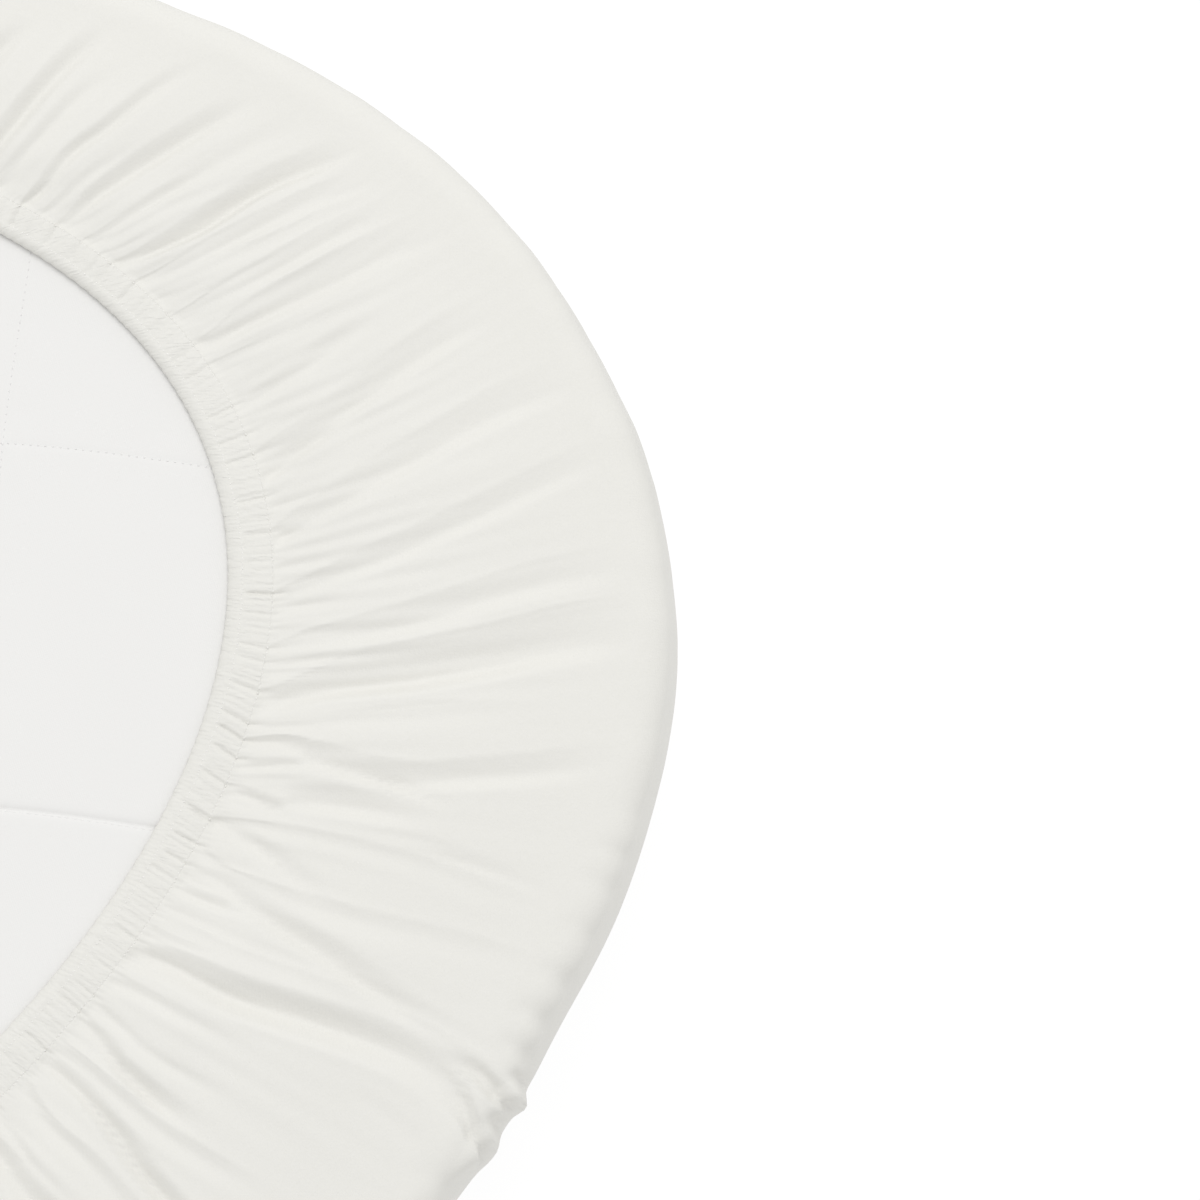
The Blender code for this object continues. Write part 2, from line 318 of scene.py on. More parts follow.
    def wall(
        self, top: float, bottom: float, gap: float, rings: tuple[int, int, int], squareness: float = 2.0
    ) -> tuple[Array, Array, Array]:
        """Rings of an edge, from just past the turn of its upper face down to its lower face.

        A superellipse turns down into the wall: a quarter circle at a squareness of 2, and a squarer corner
        above it. The wall's middle stands out in a shallow bow, and a quarter circle turns in under it.

        Args:
            top: height of the upper face.
            bottom: height of the lower face.
            gap: how far the wall's middle lies inside the dressed edge.
            rings: numbers of rings of the upper turn, of the wall and of the lower turn.
            squareness: exponent of the superellipse.

        Returns:
            Inset and height of each ring, and how far its surface faces outwards.
        """
        upper, straight, lower = (steps(end, count) for end, count in zip((QUARTER, 1.0, QUARTER), rings))
        across, up = np.sin(upper) ** (2.0 / squareness), np.abs(np.cos(upper)) ** (2.0 / squareness)
        outwards, upwards = across ** (squareness - 1.0), up ** (squareness - 1.0)
        wall_inset = gap + self.side_swell
        wall_top, wall_bottom = top - self.edge_radius, bottom + self.floor_edge_radius
        inset = np.concatenate([
            wall_inset + self.edge_radius * (1.0 - across),
            gap + self.side_swell * np.square(2.0 * straight - 1.0),
            wall_inset + self.floor_edge_radius * (1.0 - np.cos(lower)),
        ])
        height = np.concatenate([
            wall_top + self.edge_radius * up,
            wall_top + (wall_bottom - wall_top) * straight,
            bottom + self.floor_edge_radius * (1.0 - np.sin(lower)),
        ])
        turned = outwards / np.hypot(outwards, upwards)
        facing = np.concatenate([turned, np.ones_like(straight), np.cos(lower)])
        return inset, height, facing


@dataclass(frozen=True)
class Levels:
    """Heights that the cloth and the mattress keep to."""

    cloth: float = 1.5 * MM
    mattress_bottom: float = 1.8 * MM
    mattress_top: float = 81.8 * MM
    face_underside: float = 82.5 * MM
    face: float = 84.0 * MM


@dataclass(frozen=True)
class Fold:
    """A main fold of the solid: its valley's stations at the hem and the edge, its reach and its height."""

    hem: float
    edge: float
    reach: float
    height: float


@dataclass(frozen=True)
class Drape:
    """One fold of the face: the cloth falls from a crest into a valley and rises out of it again.

    The steepness is the fall over the width that it takes. The widths are in degrees: of the fall at the hem,
    of the fall out on the face, and of the rise. The crest and the slit are how sharp the crest's lip is, and
    how clearly the fold runs on through the casing, from 0 to 1. The valley lies on the side of the lower
    stations, or of the higher ones where the side is -1. The path is the crest's line in pairs of a reach and
    a station.
    """

    steepness: float
    hem_fall: float
    fall: float
    rise: float
    crest: float
    slit: float
    path: tuple[tuple[float, float], ...]
    side: float = 1.0


# Folds of the +X end, as in the solid: station at the hem, station at the edge, reach, ridge height in mm
END_FOLDS = tuple(
    Fold(hem, edge, reach, height * MM)
    for hem, edge, reach, height in (
        (43.0, 46.5, 0.8, 4.2), (36.0, 41.0, 0.95, 4.7), (30.3, 35.7, 1.0, 5.0), (26.0, 31.1, 0.95, 5.6),
        (23.4, 27.8, 0.88, 3.8), (18.9, 22.6, 0.95, 4.8), (13.2, 18.8, 0.88, 5.4), (9.4, 16.0, 0.75, 4.6),
        (4.4, 11.6, 0.92, 5.2), (-1.2, 6.4, 1.0, 5.0), (-5.7, 0.9, 0.96, 6.6), (-10.5, -5.2, 0.96, 4.6),
        (-13.6, -8.8, 0.95, 4.9), (-16.0, -10.8, 0.85, 4.4), (-18.4, -13.6, 0.5, 5.0),
        (-21.1, -16.9, 0.98, 6.2), (-24.2, -21.8, 0.65, 6.0), (-26.3, -25.2, 0.95, 5.6),
        (-28.5, -28.7, 0.95, 5.6), (-30.3, -31.6, 0.75, 6.6), (-32.6, -33.8, 1.0, 6.8),
        (-34.9, -36.0, 1.0, 9.0), (-39.9, -42.0, 0.6, 6.0), (-42.6, -45.0, 0.88, 5.4),
        (-47.4, -49.8, 0.8, 5.0),
    )
)

# Folds of the +X end in the dressed cloth, with the columns of Drape
END_DRAPES = tuple(
    Drape(steepness, hem_fall, fall, rise, crest, slit, path, *side)
    for steepness, hem_fall, fall, rise, crest, slit, path, *side in (
        (0.72, 0.5, 0.7, 0.8, 0.4, 0.5, ((0.0, 42.8), (0.3, 44.3), (0.6, 45.6), (0.85, 46.4))),
        (0.5, 0.4, 0.5, 0.6, 0.0, 0.3, ((0.0, 39.8), (0.3, 41.7), (0.5, 42.7))),
        (0.72, 0.5, 0.8, 0.8, 0.4, 0.5, ((0.0, 36.6), (0.3, 38.6), (0.6, 40.2), (0.95, 41.4))),
        (0.78, 0.5, 0.8, 0.8, 0.4, 0.4, ((0.0, 33.4), (0.2, 34.6), (0.4, 36.0), (0.7, 37.6), (0.9, 38.3))),
        (0.83, 0.6, 0.8, 0.7, 0.4, 0.4, (
            (0.0, 29.5), (0.2, 31.4), (0.4, 32.9), (0.6, 34.1), (0.8, 35.0), (1.0, 35.8),
        )),
        (0.48, 0.5, 0.6, 0.8, 0.3, 0.3, ((0.0, 28.1), (0.1, 28.8), (0.3, 30.4), (0.5, 31.7), (0.8, 33.1))),
        (0.76, 0.4, 0.6, 0.6, 0.5, 0.5, (
            (0.0, 25.7), (0.1, 26.6), (0.2, 27.5), (0.3, 28.4), (0.5, 29.3), (0.8, 30.6), (1.0, 31.0),
        )),
        (0.39, 0.3, 0.5, 0.5, 0.4, 0.2, ((0.0, 24.4), (0.1, 25.1), (0.2, 25.9), (0.3, 26.5), (0.5, 27.3))),
        (0.66, 0.4, 1.0, 0.7, 0.4, 0.5, (
            (0.0, 23.1), (0.1, 23.9), (0.2, 24.9), (0.3, 25.6), (0.5, 26.5), (0.7, 27.2), (0.95, 28.0),
        )),
        (0.56, 0.3, 0.6, 0.5, 0.4, 0.3, ((0.0, 21.1), (0.1, 21.6), (0.2, 22.2), (0.4, 23.3), (0.6, 23.8))),
        (0.19, 1.0, 1.0, 0.8, 0.4, 0.0, ((0.4, 23.9), (0.6, 24.6), (0.8, 25.0), (1.0, 25.2))),
        (0.41, 0.2, 0.4, 0.4, 0.0, 0.3, ((0.0, 19.6), (0.1, 19.9), (0.26, 20.8))),
        (0.18, 0.5, 0.4, 0.5, 0.5, 0.0, ((0.28, 21.8), (0.5, 22.1), (0.7, 22.4), (0.95, 22.7))),
        (0.81, 0.4, 1.2, 0.6, 0.4, 0.6, (
            (0.0, 18.6), (0.1, 19.0), (0.2, 19.6), (0.4, 20.8), (0.6, 21.9), (0.8, 22.4), (1.0, 22.9),
        )),
        (0.37, 0.4, 1.0, 0.7, 0.75, 0.4, (
            (0.0, 16.5), (0.1, 17.0), (0.3, 18.3), (0.5, 19.2), (0.7, 19.9), (0.95, 20.3),
        )),
        (0.11, 0.5, 0.6, 0.5, 0.85, 0.0, ((0.15, 16.2), (0.3, 16.9), (0.5, 17.5), (0.7, 18.3), (0.9, 18.5))),
        (0.16, 0.3, 0.4, 0.4, 0.0, 0.2, ((0.03, 14.6), (0.2, 15.5), (0.3, 15.9))),
        (0.32, 0.4, 1.0, 0.8, 0.85, 0.4, (
            (0.0, 12.9), (0.1, 13.6), (0.2, 14.5), (0.4, 15.8), (0.6, 17.0), (0.9, 18.0),
        )),
        (0.29, 0.8, 1.7, 0.8, 0.75, 0.4, (
            (0.0, 10.2), (0.1, 11.2), (0.2, 12.4), (0.3, 13.3), (0.5, 14.6), (0.7, 15.7), (0.95, 16.6),
        )),
        (0.14, 0.3, 0.5, 0.5, 0.65, 0.5, ((0.0, 8.3), (0.1, 9.0), (0.3, 10.2), (0.5, 11.4), (0.7, 12.4))),
        (0.42, 0.6, 1.0, 0.8, 0.2, 0.6, (
            (0.0, 4.6), (0.1, 5.8), (0.2, 7.1), (0.3, 8.2), (0.4, 9.4), (0.6, 11.0),
        )),
        (0.2, 0.4, 0.5, 0.5, 0.0, 0.4, ((0.0, 2.2), (0.1, 3.6), (0.2, 4.8))),
        (0.34, 2.2, 1.6, 0.8, 0.4, 0.4, (
            (0.0, 0.4), (0.1, 1.9), (0.2, 3.1), (0.4, 5.8), (0.6, 8.1), (0.7, 9.1), (0.9, 10.4),
        )),
        (0.18, 0.3, 0.5, 0.5, 0.1, 0.6, ((0.0, -3.0), (0.1, -1.5), (0.2, -0.1))),
        (0.35, 1.2, 1.7, 0.9, 0.7, 0.8, (
            (0.0, -5.8), (0.05, -4.8), (0.1, -3.9), (0.2, -2.5), (0.3, -0.9), (0.5, 1.4), (0.7, 3.5),
            (1.04, 5.9),
        )),
        (0.35, 0.7, 1.3, 0.8, 0.8, 1.0, (
            (0.0, -10.5), (0.1, -9.1), (0.2, -7.8), (0.3, -6.6), (0.5, -4.4), (0.7, -2.3), (1.04, 0.8),
        )),
        (0.18, 0.3, 0.4, 0.4, 0.1, 0.4, ((0.0, -12.0), (0.16, -10.3))),
        (0.21, 0.3, 0.4, 0.4, 0.1, 0.4, ((0.0, -13.1), (0.15, -12.0))),
        (0.35, 0.4, 1.5, 1.0, 0.9, 0.7, (
            (0.0, -14.5), (0.05, -13.8), (0.1, -13.1), (0.2, -12.1), (0.3, -11.2), (0.5, -9.4), (0.7, -7.7),
            (1.04, -5.8),
        )),
        (0.37, 0.4, 0.5, 0.4, 0.2, 0.7, ((0.0, -15.5), (0.1, -14.9), (0.2, -14.2), (0.3, -13.6))),
        (0.43, 1.2, 2.6, 1.1, 0.9, 0.8, (
            (0.0, -17.6), (0.05, -17.1), (0.1, -16.3), (0.2, -14.8), (0.3, -13.6), (0.4, -12.9),
            (0.6, -11.5), (0.8, -10.0), (1.04, -8.9),
        )),
        (0.4, 0.3, 0.4, 0.5, 0.1, 0.9, ((0.0, -19.9), (0.1, -19.4), (0.24, -18.6))),
        (0.18, 0.5, 0.6, 0.8, 0.8, 0.0, (
            (0.16, -18.7), (0.3, -17.7), (0.4, -17.1), (0.6, -16.2), (0.76, -15.9),
        )),
        (0.43, 0.4, 1.2, 0.8, 0.9, 1.0, (
            (0.0, -21.0), (0.05, -20.6), (0.1, -20.3), (0.2, -20.4), (0.35, -20.6), (0.5, -20.3),
            (0.6, -19.7), (0.8, -18.5), (1.04, -17.0),
        )),
        (0.63, 0.4, 0.4, 0.5, 0.0, 0.0, ((0.0, -21.0), (0.06, -20.5), (0.12, -20.2), (0.2, -20.3))),
        (0.53, 0.6, 0.7, 0.5, 0.2, 1.0, ((0.0, -22.3), (0.1, -21.8), (0.2, -21.0), (0.3, -20.8))),
        (0.25, 0.3, 0.4, 0.5, 0.1, 0.0, ((0.0, -23.5), (0.1, -22.9), (0.2, -22.4), (0.3, -22.0))),
        (0.76, 0.5, 0.5, 0.5, 0.1, 0.0, ((0.32, -21.2), (0.45, -21.5), (0.64, -22.2))),
        (0.48, 1.2, 1.3, 0.9, 0.0, 0.0, ((0.12, -23.6), (0.2, -23.0), (0.4, -22.4), (0.58, -22.4))),
        (0.66, 0.5, 0.6, 0.5, 0.2, 1.0, (
            (0.0, -24.1), (0.05, -24.0), (0.1, -24.1), (0.15, -24.5), (0.24, -25.1),
        )),
        (0.2, 0.3, 0.5, 0.9, 0.8, 0.4, (
            (0.0, -26.4), (0.1, -26.0), (0.3, -25.6), (0.5, -25.5), (0.7, -25.7), (0.95, -26.2),
        )),
        (0.19, 0.3, 0.3, 0.3, 0.5, 0.0, ((0.38, -24.7), (0.55, -24.4), (0.7, -24.6), (0.92, -25.1))),
        (0.63, 0.4, 0.4, 0.4, 0.1, 0.0, ((0.56, -24.7), (0.8, -25.0), (1.0, -25.5))),
        (0.56, 0.4, 0.9, 0.8, 0.2, 1.0, (
            (0.0, -26.6), (0.05, -26.4), (0.1, -26.5), (0.2, -27.0), (0.3, -27.7), (0.44, -28.4),
        )),
        (0.25, 0.3, 0.6, 1.1, 0.8, 0.9, (
            (0.0, -28.2), (0.05, -28.6), (0.1, -29.0), (0.2, -29.2), (0.3, -29.2), (0.5, -29.1),
            (0.7, -28.8), (1.04, -28.7),
        )),
        (0.53, 0.4, 1.1, 0.7, 0.1, 0.9, (
            (0.0, -29.5), (0.1, -29.4), (0.2, -29.8), (0.3, -30.2), (0.5, -31.1), (0.8, -32.5),
            (0.92, -33.0),
        )),
        (0.58, 0.5, 0.7, 0.5, 0.1, 0.6, ((0.0, -30.6), (0.1, -30.8), (0.2, -30.7), (0.28, -30.5))),
        (0.12, 0.3, 0.3, 0.5, 1.0, 0.0, (
            (0.03, -32.6), (0.1, -32.8), (0.3, -33.1), (0.5, -33.0), (0.67, -33.1), (0.81, -33.3),
            (0.94, -33.7), (1.04, -34.0), (1.12, -34.7), (1.3, -36.4),
        ), -1.0),
        (0.25, 0.3, 0.3, 0.3, 0.3, 0.3, ((0.0, -33.6), (0.1, -33.8), (0.2, -33.7), (0.27, -33.3))),
        (0.91, 0.8, 1.3, 1.2, 0.2, 0.5, (
            (0.0, -34.7), (0.1, -34.4), (0.3, -34.4), (0.5, -34.1), (0.68, -33.9), (0.83, -33.95),
            (0.93, -34.4), (1.05, -35.7), (1.14, -37.0),
        )),
        (4.0, 0.4, 0.6, 0.5, 0.0, 0.0, (
            (0.9, -33.7), (0.96, -33.95), (1.0, -34.15), (1.05, -34.35), (1.1, -34.45), (1.2, -34.5),
            (1.4, -34.6),
        )),
        (3.6, 0.5, 0.6, 0.5, 0.0, 0.0, (
            (0.89, -34.6), (0.95, -35.1), (1.0, -35.6), (1.05, -36.1), (1.1, -36.5), (1.2, -36.8),
            (1.4, -36.9),
        )),
        (0.18, 0.4, 0.5, 0.5, 0.2, 0.3, ((0.0, -36.8), (0.2, -37.1), (0.48, -37.1))),
        (0.18, 0.4, 0.5, 0.5, 0.5, 0.0, (
            (0.68, -37.0), (0.8, -37.3), (0.9, -37.7), (1.0, -38.3), (1.1, -39.0),
        )),
        (0.45, 0.3, 0.4, 0.5, 0.1, 0.4, (
            (0.0, -38.4), (0.1, -39.0), (0.2, -39.5), (0.35, -39.8), (0.5, -39.7),
        )),
        (0.84, 0.4, 0.8, 0.5, 0.2, 0.7, (
            (0.0, -39.5), (0.1, -40.0), (0.2, -40.7), (0.3, -41.1), (0.5, -41.6),
        )),
        (0.38, 0.3, 0.5, 0.8, 0.8, 0.3, (
            (0.0, -41.3), (0.1, -41.6), (0.2, -42.0), (0.4, -42.6), (0.75, -42.9),
        )),
        (0.9, 0.6, 0.8, 0.5, 0.1, 0.6, (
            (0.0, -42.1), (0.1, -42.4), (0.2, -42.8), (0.4, -44.2), (0.75, -45.9),
        )),
        (0.48, 0.3, 0.5, 0.8, 0.7, 0.3, (
            (0.0, -43.7), (0.1, -44.7), (0.3, -45.5), (0.5, -46.4), (0.75, -47.2),
        )),
        (0.55, 0.3, 0.4, 0.4, 0.1, 0.3, ((0.0, -46.0), (0.1, -46.4), (0.2, -47.0), (0.35, -47.5))),
        (0.75, 0.5, 0.9, 0.8, 0.2, 0.6, (
            (0.0, -47.0), (0.1, -47.2), (0.2, -47.7), (0.4, -48.3), (0.8, -49.6),
        )),
    )
)

# Rolls of cloth where the largest fold crosses the edge, and dimples of the edge between the folds
EDGE_ROLLS = (
    Swell(-33.95, -1.6 * MM, 0.28), Swell(-34.8, 4.9 * MM, 0.52), Swell(-36.05, -2.4 * MM, 0.38),
    Swell(-37.2, 3.8 * MM, 0.95),
)
EDGE_DIMPLES = (
    Swell(-20.6, -0.4 * MM, 0.50), Swell(-22.7, -0.7 * MM, 0.45), Swell(-24.4, -0.8 * MM, 0.55),
    Swell(-26.8, -0.8 * MM, 0.50), Swell(-29.2, -1.6 * MM, 0.60), Swell(-31.2, -1.5 * MM, 0.50),
    Swell(-32.9, -1.6 * MM, 0.50), Swell(-39.3, -1.2 * MM, 0.60),
)


@dataclass(frozen=True)
class RestFolds:
    """Folds of the round that lie past the charted end, drawn from a seeded generator as in the solid."""

    pitch: float = 37.0 * MM
    pitch_variation: float = 0.30
    height: Range = (4.2 * MM, 6.6 * MM)
    reach: Range = (0.65, 1.0)
    lean: Range = (-1.0, 1.0)
    last_share: float = 0.6
    seed: int = 7

    def folds(self, oval: Oval) -> list[Fold]:
        """Folds from the last charted one on to the first, one pitch after another.

        Args:
            oval: the plan.

        Returns:
            The folds, with falling stations.
        """
        chance = random.Random(self.seed)
        first, last = END_FOLDS[0], END_FOLDS[-1]
        end = first.hem - FULL_TURN
        first_lean, last_lean = first.edge - first.hem, last.edge - last.hem
        station = last.hem
        folds: list[Fold] = []
        while True:
            run = float(np.linalg.norm(oval.hem(np.array(station - 1.0)) - oval.hem(np.array(station))))
            pitch = self.pitch * (1.0 + self.pitch_variation * chance.uniform(-1.0, 1.0))
            station -= pitch / run
            if station < end + self.last_share * self.pitch / run:
                return folds
            share = (last.hem - station) / (last.hem - end)
            lean = last_lean + (first_lean - last_lean) * share
            wander = chance.uniform(*self.lean) * math.sin(math.pi * share)
            reach = chance.uniform(*self.reach)
            folds.append(Fold(station, station + lean + wander, reach, chance.uniform(*self.height)))


@dataclass(frozen=True)
class GatherSizes:
    """Fine gathers that the elastic draws up: pitch, depths and widths in metres."""

    pitch: Range = (1.1 * MM, 2.7 * MM)
    depth: Range = (0.12 * MM, 0.48 * MM)
    width: Range = (0.35 * MM, 0.70 * MM)
    start: Range = (0.5 * MM, 7.0 * MM)
    slit_offset: float = 0.6 * MM
    slit_depth: float = 1.15 * MM
    slit_width: float = 0.45 * MM
    slit_start: Range = (3.4 * MM, 5.6 * MM)
    slit_cloth_width: float = 1.0 * MM
    slit_cloth_run: float = 5.0 * MM
    minor_run: Range = (2.0 * MM, 6.0 * MM)
    major_run: Range = (8.0 * MM, 24.0 * MM)
    major_depth: Range = (0.45 * MM, 1.0 * MM)
    major_width: Range = (1.2 * MM, 2.0 * MM)
    major_every: int = 5
    coarse_share: float = 0.3
    seed: int = 11


@dataclass
class Gathers:
    """All fine gathers and slits of the round: one entry of each array for each, and how they grow."""

    station: Array
    depth: Array
    width: Array
    start: Array
    cloth_depth: Array
    cloth_width: Array
    cloth_run: Array
    growth: float = 3.0 * MM
    sewn_share: float = 0.7
    full_share: float = 0.25

    @classmethod
    def draw(cls, oval: Oval, drapes: list[Drape], sizes: GatherSizes, near: "ColumnPlan") -> "Gathers":
        """Draw the gathers round the hem from a seeded generator, and add a slit for each fold that has one.

        Args:
            oval: the plan.
            drapes: folds of the whole round.
            sizes: ranges to draw from.
            near: tells where the mesh is fine enough for the smallest gathers.

        Returns:
            The gathers.
        """
        chance = np.random.default_rng(sizes.seed)
        fine, run = oval.hem_run()
        count = int(run[-1] / (sum(sizes.pitch) / 2.0))
        pitches = chance.uniform(*sizes.pitch, count)
        places = np.cumsum(pitches) * run[-1] / pitches.sum()
        station = np.interp(places, run, fine)
        major = np.arange(count) % sizes.major_every == 0
        fine_mesh = near.closeness(station)

        def pick(ranges: Range) -> Array:
            """One number of a range for each gather."""
            return chance.uniform(*ranges, count)

        depth, width, start = pick(sizes.depth), pick(sizes.width), pick(sizes.start)
        shallower = sizes.coarse_share + (1.0 - sizes.coarse_share) * fine_mesh
        cloth_depth = np.where(major, pick(sizes.major_depth), depth * fine_mesh)
        cloth_width = np.where(major, pick(sizes.major_width), width)
        cloth_run = np.where(major, pick(sizes.major_run), pick(sizes.minor_run))

        slits = [d for d in drapes if d.slit > 0.0]
        slit = np.array([d.slit for d in slits])
        side = np.array([d.side for d in slits])
        crest = np.array([d.path[0][1] for d in slits])
        slit_station = crest - side * sizes.slit_offset / oval.run_per_degree(crest, 0.0)
        slit_count = len(slits)
        return cls(
            station=np.concatenate([station, slit_station]),
            depth=np.concatenate([depth * shallower, sizes.slit_depth * slit]),
            width=np.concatenate([width, np.full(slit_count, sizes.slit_width)]),
            start=np.concatenate([start, chance.uniform(*sizes.slit_start, slit_count)]),
            cloth_depth=np.concatenate([cloth_depth, sizes.slit_depth * slit]),
            cloth_width=np.concatenate([cloth_width, np.full(slit_count, sizes.slit_cloth_width)]),
            cloth_run=np.concatenate([cloth_run, np.full(slit_count, sizes.slit_cloth_run)]),
        )

    def _troughs(self, oval: Oval, station: Array, width: Array) -> Array:
        """Trough share of every gather at every column, one row for each gather."""
        apart = stations_apart(station[None, :], self.station[:, None])
        return trough(apart * oval.run_per_degree(station, 0.0)[None, :], width[:, None])

    def on_casing(self, oval: Oval, station: Array, distance: Array) -> Array:
        """Depth of the gathers on the casing, one row for each distance.

        A gather grows from nothing at its start to its full depth further out. It crosses the casing square
        to the hem, with a little lean of its own, and meets the outer stitches at its station.

        Args:
            oval: the plan.
            station: station of each column.
            distance: distance of each ring.

        Returns:
            Depths in metres.
        """
        grown = ease((distance[:, None] - self.start[None, :]) / self.growth) * self.depth[None, :]
        depths = grown @ self._troughs(oval, station, self.width)
        lean = oval.casing_lean(station)
        for row, ring in enumerate(distance):
            moved = station + lean * (1.0 - ring / oval.casing_width)
            depths[row] = np.interp(moved, station, depths[row], period=FULL_TURN)
        return depths

    def on_cloth(self, oval: Oval, station: Array, run: Array) -> Array:
        """Depth of the gathers on the face, one row for each mean run out from the stitching.

        At the stitching a gather is as on the casing. Just past it, it changes to its own depth and width on
        the face, and dies out over its own run.

        Args:
            oval: the plan.
            station: station at the hem of each column.
            run: distance of each ring out from the stitching.

        Returns:
            Depths in metres.
        """
        changed = ease(run[:, None] / self.growth)
        whole = self.cloth_run[None, :]
        left = 1.0 - ease((run[:, None] - self.full_share * whole) / whole)
        as_sewn = self.sewn_share * (1.0 - changed) * self.depth[None, :]
        as_free = changed * left * self.cloth_depth[None, :]
        sewn = as_sewn @ self._troughs(oval, station, self.width)
        return sewn + as_free @ self._troughs(oval, station, self.cloth_width)


@dataclass(frozen=True)
class ColumnPlan:
    """How the columns of a mesh are shared out round the hem: closer together at the charted end."""

    count: int
    extra: float
    first: float = 40.0
    last: float = -54.0
    blend: float = 10.0

    def closeness(self, station: Array) -> Array:
        """1 at the charted end and 0 elsewhere, with a soft change between.

        Args:
            station: stations at the hem.

        Returns:
            Shares from 0 to 1.
        """
        at = stations_apart(station, (self.first + self.last) / 2.0)
        half = (self.first - self.last) / 2.0
        return 1.0 - ease((np.abs(at) - half) / self.blend)

    def stations(self, oval: Oval) -> Array:
        """Rising stations at the hem, evenly spread by a weighted length.

        The weight of a stretch is its length times one plus the extra, where the columns are close.

        Args:
            oval: the plan.

        Returns:
            One station for each column.
        """
        fine = np.linspace(0.0, FULL_TURN, 14401)
        middle = (fine[1:] + fine[:-1]) / 2.0
        weight = oval.run_per_degree(middle, 0.0) * (1.0 + self.extra * self.closeness(middle))
        total = np.concatenate([[0.0], np.cumsum(weight)])
        wanted = np.arange(self.count) * total[-1] / self.count
        return np.interp(wanted, total, fine)


@dataclass(frozen=True)
class DrapeRanges:
    """Ranges to draw the folds past the charted end from: the columns of Drape, with the widths in mm."""

    steepness: Range
    hem_fall: Range
    fall: Range
    rise: Range
    crest: Range
    slit: Range

    def draw(self, chance: random.Random, run: float) -> list[float]:
        """Sizes of one fold, drawn in the order of Drape, where a degree is so many mm long.

        Args:
            chance: generator to draw from.
            run: millimetres for each degree.

        Returns:
            Steepness, the three widths in degrees, crest and slit.
        """
        widths = [chance.uniform(*given) for given in (self.steepness, self.hem_fall, self.fall, self.rise)]
        ends = [chance.uniform(*given) for given in (self.crest, self.slit)]
        return [widths[0], *(width / run for width in widths[1:]), *ends]


